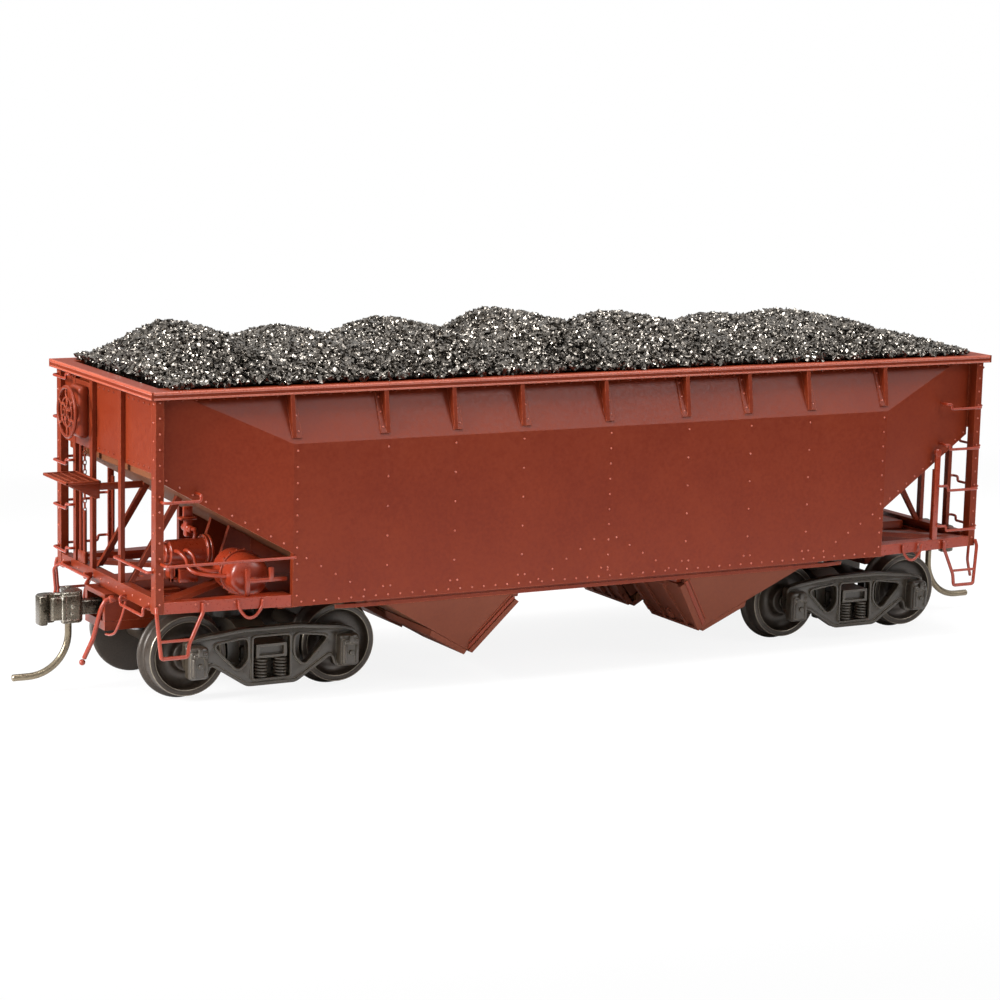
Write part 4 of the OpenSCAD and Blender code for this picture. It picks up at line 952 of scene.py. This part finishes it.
# Brake chain: oval links, each turned a quarter round from the last
chain = ShapeNodes("brake_chain", {"Link width": 0.26 * MM, "Wire diameter": 0.14 * MM})
wire_r = chain.number("MULTIPLY", chain["Wire diameter"], 0.5)
link_round, link_wire = (
    chain.add("GeometryNodeCurvePrimitiveCircle", {"Resolution": steps, "Radius": radius})
    for steps, radius in ((12, chain["Link width"]), (6, wire_r))
)
oval = chain.add("GeometryNodeTransform", {"Geometry": link_round, "Scale": (0.75, 1.45, 1.0)})
link = chain.add("GeometryNodeCurveToMesh", {"Curve": oval, "Profile Curve": link_wire})
quarters = chain.number("MULTIPLY", chain.add("GeometryNodeInputIndex"), math.pi / 2)
link_turn = chain.add("ShaderNodeCombineXYZ", {"X": math.pi / 2, "Z": quarters})
chain.close(chain.set_on(chain["Geometry"], chain.smoothed(link), Rotation=link_turn))
chain_points = [(ROD_X, 7.3, z) for z in spaced(20.5, 28.1, 0.6)]
chain.grow("brake_chain", point_mesh("brake_chain", chain_points), OXIDE_RED)

rivets("joint_bolts", joint_bolts(), 0.3, 0.16, OXIDE_RED)
# The brake castings and pipes take the brighter copy of the red, which paints the light on them.
on_body("brake_cylinder_casting", brake_cylinder(), LIT_RED, "brake_cylinder")
on_body("air_tank", air_tank(), LIT_RED, "air_reservoir")
on_body("triple_valve", control_valve(), LIT_RED, "control_valve")
on_body("bent_air_pipes", air_pipes(), LIT_RED, "air_pipes")
on_body("cast_air_hoses", air_hoses(), LIT_RED, "air_hoses")
on_body("gear_case", gear_case(), OXIDE_RED, "brake_housing")
on_body("brake_rods", brake_rods(), OXIDE_RED, "hand_brake_rod")
piece("hand_wheel", hand_wheel(), OXIDE_RED, "brake_wheel", ["brake_wheel"])
on_body("brake_step_frame", brake_step(), OXIDE_RED, "brake_platform")


# Hopper chutes

MOUTH_TOP, MOUTH_TIP = (12.2, 10.7), (17.1, 4.0)
CHUTE_LEAN, CHUTE_Y, CHUTE_Z = 0.43, 17.3, 11.3
# Local X, Y, Z to X, Z and out from the leaning plate on the right side
ON_CHUTE = Matrix(
    ((1, 0, 0, 0), (0, -CHUTE_LEAN, -1, CHUTE_LEAN * CHUTE_Z - CHUTE_Y), (0, 1, 0, 0), (0, 0, 0, 1))
)


def chute_borders():
    """Raised border along the mouth of each chute plate, with an inner bead."""
    top, tip = Vector(MOUTH_TOP), Vector(MOUTH_TIP)
    along = (tip - top).normalized()
    inward = Vector((-along.y, along.x))
    shapes = []
    for near, far, height in ((0.02, 0.5, 0.2), (0.72, 0.86, 0.09)):
        low_a, low_b = (tip + inward * d - along * (0.1 + d) for d in (near, far))
        border = [top + inward * near, low_a, low_b, top + inward * far]
        shapes += plate(border, -0.1, height, bevel=0.05, place=ON_CHUTE)
    return four_corners(shapes)


def door_latches():
    """Small lugs along the low edge of each door."""
    (top_x, top_z), (tip_x, tip_z) = MOUTH_TOP, MOUTH_TIP
    turn = Matrix.Rotation(math.atan2(tip_x - top_x, top_z - tip_z), 4, "Y").inverted()
    place = Matrix.Translation((tip_x - 0.75, 0, tip_z + 0.35)) @ turn
    shapes = []
    for y in (3.2, 8.6):
        lug = block((-0.3, y - 0.45, 0), (0.25, y + 0.45, 1.1), 0.1)
        shapes += moved(lug + block((-0.5, y - 0.2, 0.2), (0, y + 0.2, 1.7), 0.08), place)
    return four_corners(shapes)


on_body("chute_borders", chute_borders(), OXIDE_RED)
on_body("door_latches", door_latches(), SHADED_HOPPER_RED)


# Trucks

ARCH = [(-11, 7.6), (-9, 8.1), (-3.6, 8.7), (3.6, 8.7), (9, 8.1), (11, 7.6), (11, 4.4), (9.7, 3.1)]
ARCH += [(8.3, 3.1), (7.8, 4.6), (3.2, 1.65), (-3.2, 1.65), (-7.8, 4.6), (-8.3, 3.1), (-9.7, 3.1)]
ARCH += [(-11, 4.4)]
SPRING_WINDOW = [(-2.35, 2.5), (2.35, 2.5), (2.35, 7.5), (-2.35, 7.5)]
SIDE_WINDOW = [(3.1, 7.5), (7.4, 6.95), (4.3, 3.7), (3.05, 4.9)]
FRAME_IN, FRAME_OUT = 11.2, 12.4
SHOE_X, BRAKE_HEAD_X, SHOE_Y = 3.6, 2.5, 9.25
COIL_X, COIL_Y, COIL_Z = 1.25, 11.75, 2.68
WHEEL_BACK_Y, WHEEL_FACETS = 7.25, 72


def frame_casting():
    """One left side frame: a web with raised rims round its outline and windows, and two journal boxes."""
    outline = rounded(ARCH, 0.5)
    window = rounded(SPRING_WINDOW, 0.3)
    side = rounded(SIDE_WINDOW, 0.7)
    other = counter_clockwise([(-p[0], p[1]) for p in side])
    shapes = plate(outline, FRAME_IN, FRAME_OUT - 0.28, [window, side, other], 0.1, UPRIGHT)
    shapes += plate(outline, FRAME_OUT - 0.7, FRAME_OUT, [inset(outline, 0.42)], 0.1, UPRIGHT)
    for hole in (window, side, other):
        shapes += plate(inset(hole, -0.28), FRAME_OUT - 0.7, FRAME_OUT, [hole], 0.1, UPRIGHT)
    for x in (-WHEELBASE / 2, WHEELBASE / 2):
        shapes += block((x - 1.25, FRAME_OUT - 0.6, 3.25), (x + 1.25, 13.6, 7.2), 0.5, 4)
        shapes += block((x - 1.1, 13.3, 3.5), (x + 1.1, 13.8, 6.6), 0.35, 4)
        for dx in (-0.72, 0.72):
            shapes += block((x + dx - 0.2, 13.6, 3.75), (x + dx + 0.2, 14.0, 5.9), 0.15, 3)
        shapes += block((x - 0.8, 13.6, 6.0), (x + 0.8, 13.95, 6.4), 0.15, 3)
        shapes += block((x - 0.28, 13.6, 6.1), (x + 0.28, 14.05, 7.1), 0.15, 3)
        boss = [(0, 0), (0.34, 0), (0.34, 0.3), (0.26, 0.42), (0, 0.45)]
        shapes += lathe(boss, axis_y(x, 13.65, 5.0), 16)
    shapes += block((-2.75, 10.35, 2), (2.75, 10.7, 4.9), 0.08)
    for x in (-2.75, 2.4):
        shapes += block((x, 10.35, 2), (x + 0.35, FRAME_IN + 0.1, 4.9), 0.06)
    return shapes


def brake_shoes():
    """Lower half of each brake shoe and the head behind it."""
    shapes = []
    for side in (-1, 1):
        x, head_x = side * SHOE_X, side * BRAKE_HEAD_X
        for y in (-SHOE_Y, SHOE_Y):
            shapes += block((x - 0.85, y - 0.7, 2.5), (x + 0.75, y + 0.7, 4.3), 0.3, 3)
            shapes += block((head_x - 0.35, y - 0.5, 3.2), (head_x + 0.35, y + 0.5, 5.9), 0.15, 2)
    return shapes


def wheel_turning():
    """One wheel along local Z from its back: flange, coned tread, dished face and hub."""
    tread, flange, rim, bore, face = 4.81, 5.45, 4.06, 1.02, 2.8
    profile = [(bore, 0), (flange - 0.35, 0), (flange - 0.12, 0.08), (flange, 0.28), (flange, 0.44)]
    profile += [(flange - 0.1, 0.62), (flange - 0.35, 0.78), (tread + 0.08, 0.92), (tread + 0.04, 1.1)]
    profile += [(tread, 2.66), (tread - 0.06, 2.77), (tread - 0.16, face), (rim + 0.08, face), (rim, 2.72)]
    profile += [(rim - 0.14, 2.2), (rim - 0.3, 1.95), (rim - 0.6, 1.75), (3, 1.6), (2.5, 1.55), (2.15, 1.66)]
    return profile + [(1.95, 1.9), (1.84, 2.6), (1.76, 2.77), (1.66, face), (bore, face), (bore, 0)]


def wheel_edges():
    """Pale bands that paint highlights on one wheel: the crown of the flange, the outer tread edge and the
    lip of the dish.
    """
    crown = [(5.3, 0.1), (5.43, 0.26), (5.45, 0.36), (5.43, 0.47), (5.3, 0.62), (5.3, 0.1)]
    tread = [(4.68, 2.77), (4.74, 2.815), (4.79, 2.78), (4.825, 2.68), (4.7, 2.66), (4.68, 2.77)]
    lip = [(4.06, 2.7), (4.08, 2.78), (4.14, 2.815), (4.2, 2.78), (4.15, 2.7), (4.06, 2.7)]
    return [profile[::-1] for profile in (crown, tread, lip)]


spring = ShapeNodes(
    "coil_springs", {"Coil radius": 0.72 * MM, "Wire diameter": 0.3 * MM, "Height": 2.1 * MM, "Turns": 5.5}
)
radii = {label: spring["Coil radius"] for label in ("Start Radius", "End Radius")}
winding = {"Resolution": 22, "Rotations": spring["Turns"], "Height": spring["Height"], **radii}
coil = spring.add("GeometryNodeCurveSpiral", winding)
wire_r = spring.number("MULTIPLY", spring["Wire diameter"], 0.5)
wire = spring.add("GeometryNodeCurvePrimitiveCircle", {"Resolution": 8, "Radius": wire_r})
wound = spring.add("GeometryNodeCurveToMesh", {"Curve": coil, "Profile Curve": wire, "Fill Caps": True})
spring.close(spring.set_on(spring["Geometry"], spring.smoothed(wound)))

for end, sign in (("a", 1), ("b", -1)):
    body, name = "truck_" + end, "coil_springs_" + end
    at_truck = Matrix.Translation((sign * TRUCK_X, 0, 0))
    frames = moved(both_ends(frame_casting()), at_truck)
    piece("frame_castings_" + end, frames, ACETAL, body, ["sideframes_" + end])
    piece("brake_shoe_horns_" + end, moved(brake_shoes(), at_truck), ACETAL, body)
    coils = [(sign * TRUCK_X + x, y, COIL_Z) for x in (-COIL_X, COIL_X) for y in (-COIL_Y, COIL_Y)]
    spring.grow(name, point_mesh(name, coils), ACETAL, body, "truck_steel", ["truck_springs_" + end])
    for axle, side in ((end + "1", sign), (end + "2", -sign)):
        body, back = "wheelset_" + axle, axis_y(0, WHEEL_BACK_Y, 0)
        at_axle = Matrix.Translation((sign * TRUCK_X + side * WHEELBASE / 2, 0, AXLE_Z))
        pair = moved(both_ends(lathe(wheel_turning(), back, WHEEL_FACETS)), at_axle)
        piece("wheel_pair_" + axle, pair, BLACKENED_WHEEL, body, ["wheels_" + axle], smooth=50)
        bands = [band for profile in wheel_edges() for band in lathe(profile, back, WHEEL_FACETS)]
        piece("tread_edges_" + axle, moved(both_ends(bands), at_axle), WHEEL_HIGHLIGHT_METAL, body)


# Couplers

EAR = (62.9, -1.25)
HEAD_LOW, HEAD_TOP = COUPLER_Z - 1.55, COUPLER_Z + 2.2


def coupler_casting():
    """Shank and head: a core with a guard arm, two ears for the knuckle pin, lips and two cast marks."""
    core = [(61.9, -0.95), (61.9, 1), (62.5, 2), (64.8, 2), (64.8, 1.3), (64.3, 0.5), (64, -0.1)]
    core += [(62.3, -0.2)]
    arm = [(64.6, 2), (66, 2.1), (66.15, 1.6), (65.4, 1.2), (64.6, 1.1)]
    lug = [(62.05, -0.6), (61.98, -1.1), (62.1, -1.75), (62.5, -2.12), (62.9, -2.2), (63.35, -2.1)]
    lug += [(63.75, -1.7), (63.85, -1.25), (63.9, 0), (62.3, 0)]
    shapes = plate(rounded(core, 0.18), HEAD_LOW, HEAD_TOP, bevel=0.14)
    shapes += plate(rounded(arm, 0.14), HEAD_LOW + 0.45, HEAD_TOP - 0.55, bevel=0.12)
    for z in (HEAD_LOW, HEAD_TOP - 0.6):
        shapes += plate(rounded(lug, 0.2), z, z + 0.6, bevel=0.1)
    for z in (HEAD_LOW + 0.02, HEAD_TOP - 0.42):
        shapes += block((62.7, 1.9, z), (64.78, 2.14, z + 0.4), 0.1)
    shapes += block((64.3, 1.9, HEAD_LOW + 0.3), (64.78, 2.1, HEAD_TOP - 0.3), 0.08)
    for x, z in ((63.55, 10.75), (63.65, 9.95)):
        shapes += lathe([(0, 0.12), (0.16, 0.12), (0.22, 0.05), (0.24, 0), (0, 0)], axis_y(x, 1.98, z), 16)
    shapes += block((56.4, -0.9, 9.4), (62, 0.9, 11.1), 0.15)
    disc = [(1.11, 9.2), (2, 9.2), (2.1, 9.3), (2.1, 11.2), (2, 11.3), (1.11, 11.3), (1.11, 9.2)]
    return shapes + lathe(disc, Matrix.Translation((54.5, 0, 0)), 32)


def jaw():
    """Knuckle: the hook, its web between the ears and the pin."""
    low, high = COUPLER_Z - 2, COUPLER_Z + 1.55
    hook = [(64.6, -1.1), (64.5, -2.1), (65.6, -2.35), (66.5, -2.1), (67, -1.3), (66.95, 0.3), (65.95, 0.3)]
    hook += [(65.9, -0.6), (65.5, -1)]
    shapes = plate(rounded(hook, 0.25), low, high, bevel=0.18)
    web = [(62.3, -1), (62.9, -0.6), (64.8, -1.15), (64.8, -2.05), (62.9, -1.9), (62.3, -1.5)]
    shapes += plate(rounded(web, 0.2), HEAD_LOW + 0.7, HEAD_TOP - 0.7, bevel=0.08)
    tall = HEAD_TOP - HEAD_LOW + 0.2
    pin = [(0, 0), (0.3, 0), (0.35, 0.05), (0.35, tall - 0.05), (0.3, tall), (0, tall)]
    return shapes + lathe(pin, Matrix.Translation((EAR[0], EAR[1], HEAD_LOW - 0.1)), 20)


def trip_wire():
    """Wire that drops from the knuckle pin and bends out level over the track."""
    drop_z, bend, foot = 7.0, 5.0, 1.9
    turn = [math.pi / 2 * i / 14 for i in range(15)]
    arc = [(EAR[0] + bend - bend * math.cos(a), EAR[1], drop_z - bend * math.sin(a)) for a in turn]
    last = Vector(arc[-1]) + Vector((foot, 0, 0))
    return tube([(EAR[0], EAR[1], HEAD_LOW - 0.2)] + arc + [last], 0.85, 0.1, 14)


for end, turned in (("a", Matrix.Identity(4)), ("b", HALF_TURN)):
    body, jaw_body = "coupler_" + end, "knuckle_" + end
    casting, hook, pin = (moved(shapes, turned) for shapes in (coupler_casting(), jaw(), trip_wire()))
    piece("coupler_casting_" + end, casting, CAST_ZINC, body, [body])
    piece("coupler_jaw_" + end, hook, CAST_ZINC, jaw_body, [jaw_body])
    piece("trip_wire_" + end, pin, STEEL_WIRE, jaw_body, ["trip_pin_" + end])


# Finishes of the CAD nodes that stay; the rest of them are red. The slope sheets and hoppers take darker
# copies of the red as painted shade, the side sills the brighter copy as painted light.

NODE_FINISHES = {
    ("slope_sheet",): SHADED_UNDERSIDE_RED,
    ("hopper",): SHADED_HOPPER_RED,
    ("side_sills",): LIT_RED,
    ("truck_bolster", "brake_beams"): ACETAL,
    ("axle", "wheels"): BLACKENED_WHEEL,
    ("ballast", "coupler_screws", "truck_screws"): PLATED_STEEL,
}
for name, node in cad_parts.items():
    finishes = [finish for starts, finish in NODE_FINISHES.items() if name.startswith(starts)]
    node.data.materials.clear()
    node.data.materials.append(finishes[0] if finishes else OXIDE_RED)


# Stage, light and camera

WHITE = (1, 1, 1, 1)
SHADE_SPAN, SHADE_KEPT, LIGHT_POOL_SPAN = (0.06, 0.16), 0.88, (0.06, 0.15)
SKY_SPAN, SKY_LOW, SKY_HIGH = (0.1, 0.6), 0.1, 1.2
LAMP_AIM = Vector((0, 0, 0.02))


def make_floor():
    """A floor that the camera sees as plain white and that keeps the car's shadow; for the light on the car
    it is a painted pool of light, pale near the car and dark grey further out.
    """
    material, nodes = empty_material("pale_floor")
    place = nodes.add("ShaderNodeTexCoord").outputs["Object"]
    away = nodes.vector("LENGTH", nodes.vector("MULTIPLY", place, (0.6, 1.0, 1.0))).outputs["Value"]
    seen = nodes.add("ShaderNodeLightPath").outputs["Is Camera Ray"]
    share = nodes.number("MULTIPLY", nodes.mapped(away, SHADE_SPAN, first=SHADE_KEPT), seen)
    # Painted pool of light: the floor colour is pale under the car and dark grey further out, so that it
    # lights the car's lower parts from below.
    sheet = nodes.mixed(nodes.mapped(away, LIGHT_POOL_SPAN), linear("#f0f0f0"), linear("#383838"))
    diffuse = nodes.add("ShaderNodeBsdfDiffuse", {"Color": sheet})
    glow = nodes.add("ShaderNodeEmission", {"Color": WHITE, "Strength": 1.0})
    both = nodes.add("ShaderNodeMixShader", {0: share, 1: diffuse, 2: glow})
    nodes.add("ShaderNodeOutputMaterial", {"Surface": both})
    mesh = bpy.data.meshes.new("floor")
    side, drop = 4.0, -5e-5
    corners = [(-side, -side, drop), (side, -side, drop), (side, side, drop), (-side, side, drop)]
    mesh.from_pydata(corners, [], [(0, 1, 2, 3)])
    mesh.materials.append(material)
    shown("floor", mesh)


def make_surround():
    """A soft pale room, brighter overhead, which the camera sees as plain white."""
    world = bpy.data.worlds.new("studio")
    bpy.context.scene.world = world
    world.use_nodes = True
    nodes = Nodes(world.node_tree)
    seen = nodes.add("ShaderNodeLightPath").outputs["Is Camera Ray"]
    way = nodes.add("ShaderNodeTexCoord").outputs["Generated"]
    height = nodes.add("ShaderNodeSeparateXYZ", {0: way}).outputs["Z"]
    level = nodes.mapped(height, SKY_SPAN, SKY_LOW, SKY_HIGH, interpolation_type="SMOOTHSTEP")
    soft, white = (
        nodes.add("ShaderNodeBackground", {"Color": WHITE, "Strength": strength}) for strength in (level, 1.0)
    )
    both = nodes.add("ShaderNodeMixShader", {0: seen, 1: soft, 2: white})
    nodes.add("ShaderNodeOutputWorld", {"Surface": both})


def lamp(name, where, size, watts):
    """A square soft box that faces the middle of the car."""
    data = bpy.data.lights.new(name, "AREA")
    data.shape = "SQUARE"
    data.size = size
    data.energy = watts
    obj = shown(name, data)
    obj.location = where
    obj.rotation_euler = (LAMP_AIM - Vector(where)).to_track_quat("-Z", "Y").to_euler()


def make_camera():
    """The photograph's viewing angle, by azimuth, elevation and roll about a point in the car."""
    azimuth, elevation, roll = (math.radians(a) for a in (-28.946, 9.598, 1.343))
    target, distance = Vector((-5.153, 0, 19.645)) * MM, 356.141 * MM
    level = math.cos(elevation)
    back = Vector((math.sin(azimuth) * level, -math.cos(azimuth) * level, math.sin(elevation)))
    right = (-back).cross(Vector((0, 0, 1))).normalized()
    up = right.cross(-back)
    tilted = right * math.cos(roll) + up * math.sin(roll)
    data = bpy.data.cameras.new("camera")
    data.sensor_width = 36
    data.lens = 100.105
    data.clip_start, data.clip_end = 0.01, 20
    camera = shown("camera", data)
    turn = Matrix((tilted, back.cross(tilted), back)).transposed().to_4x4()
    camera.matrix_world = Matrix.Translation(target + back * distance) @ turn
    bpy.context.scene.camera = camera


make_floor()
make_surround()
lamp("key_light", (-0.75, 0.0, 0.3), 0.25, 12.5)
lamp("top_light", (0.0, -0.1, 0.8), 0.36, 5.5)
lamp("side_light", (0.42, -0.64, 0.46), 0.3, 2.0)
make_camera()
bpy.context.scene.view_settings.view_transform = "Standard"
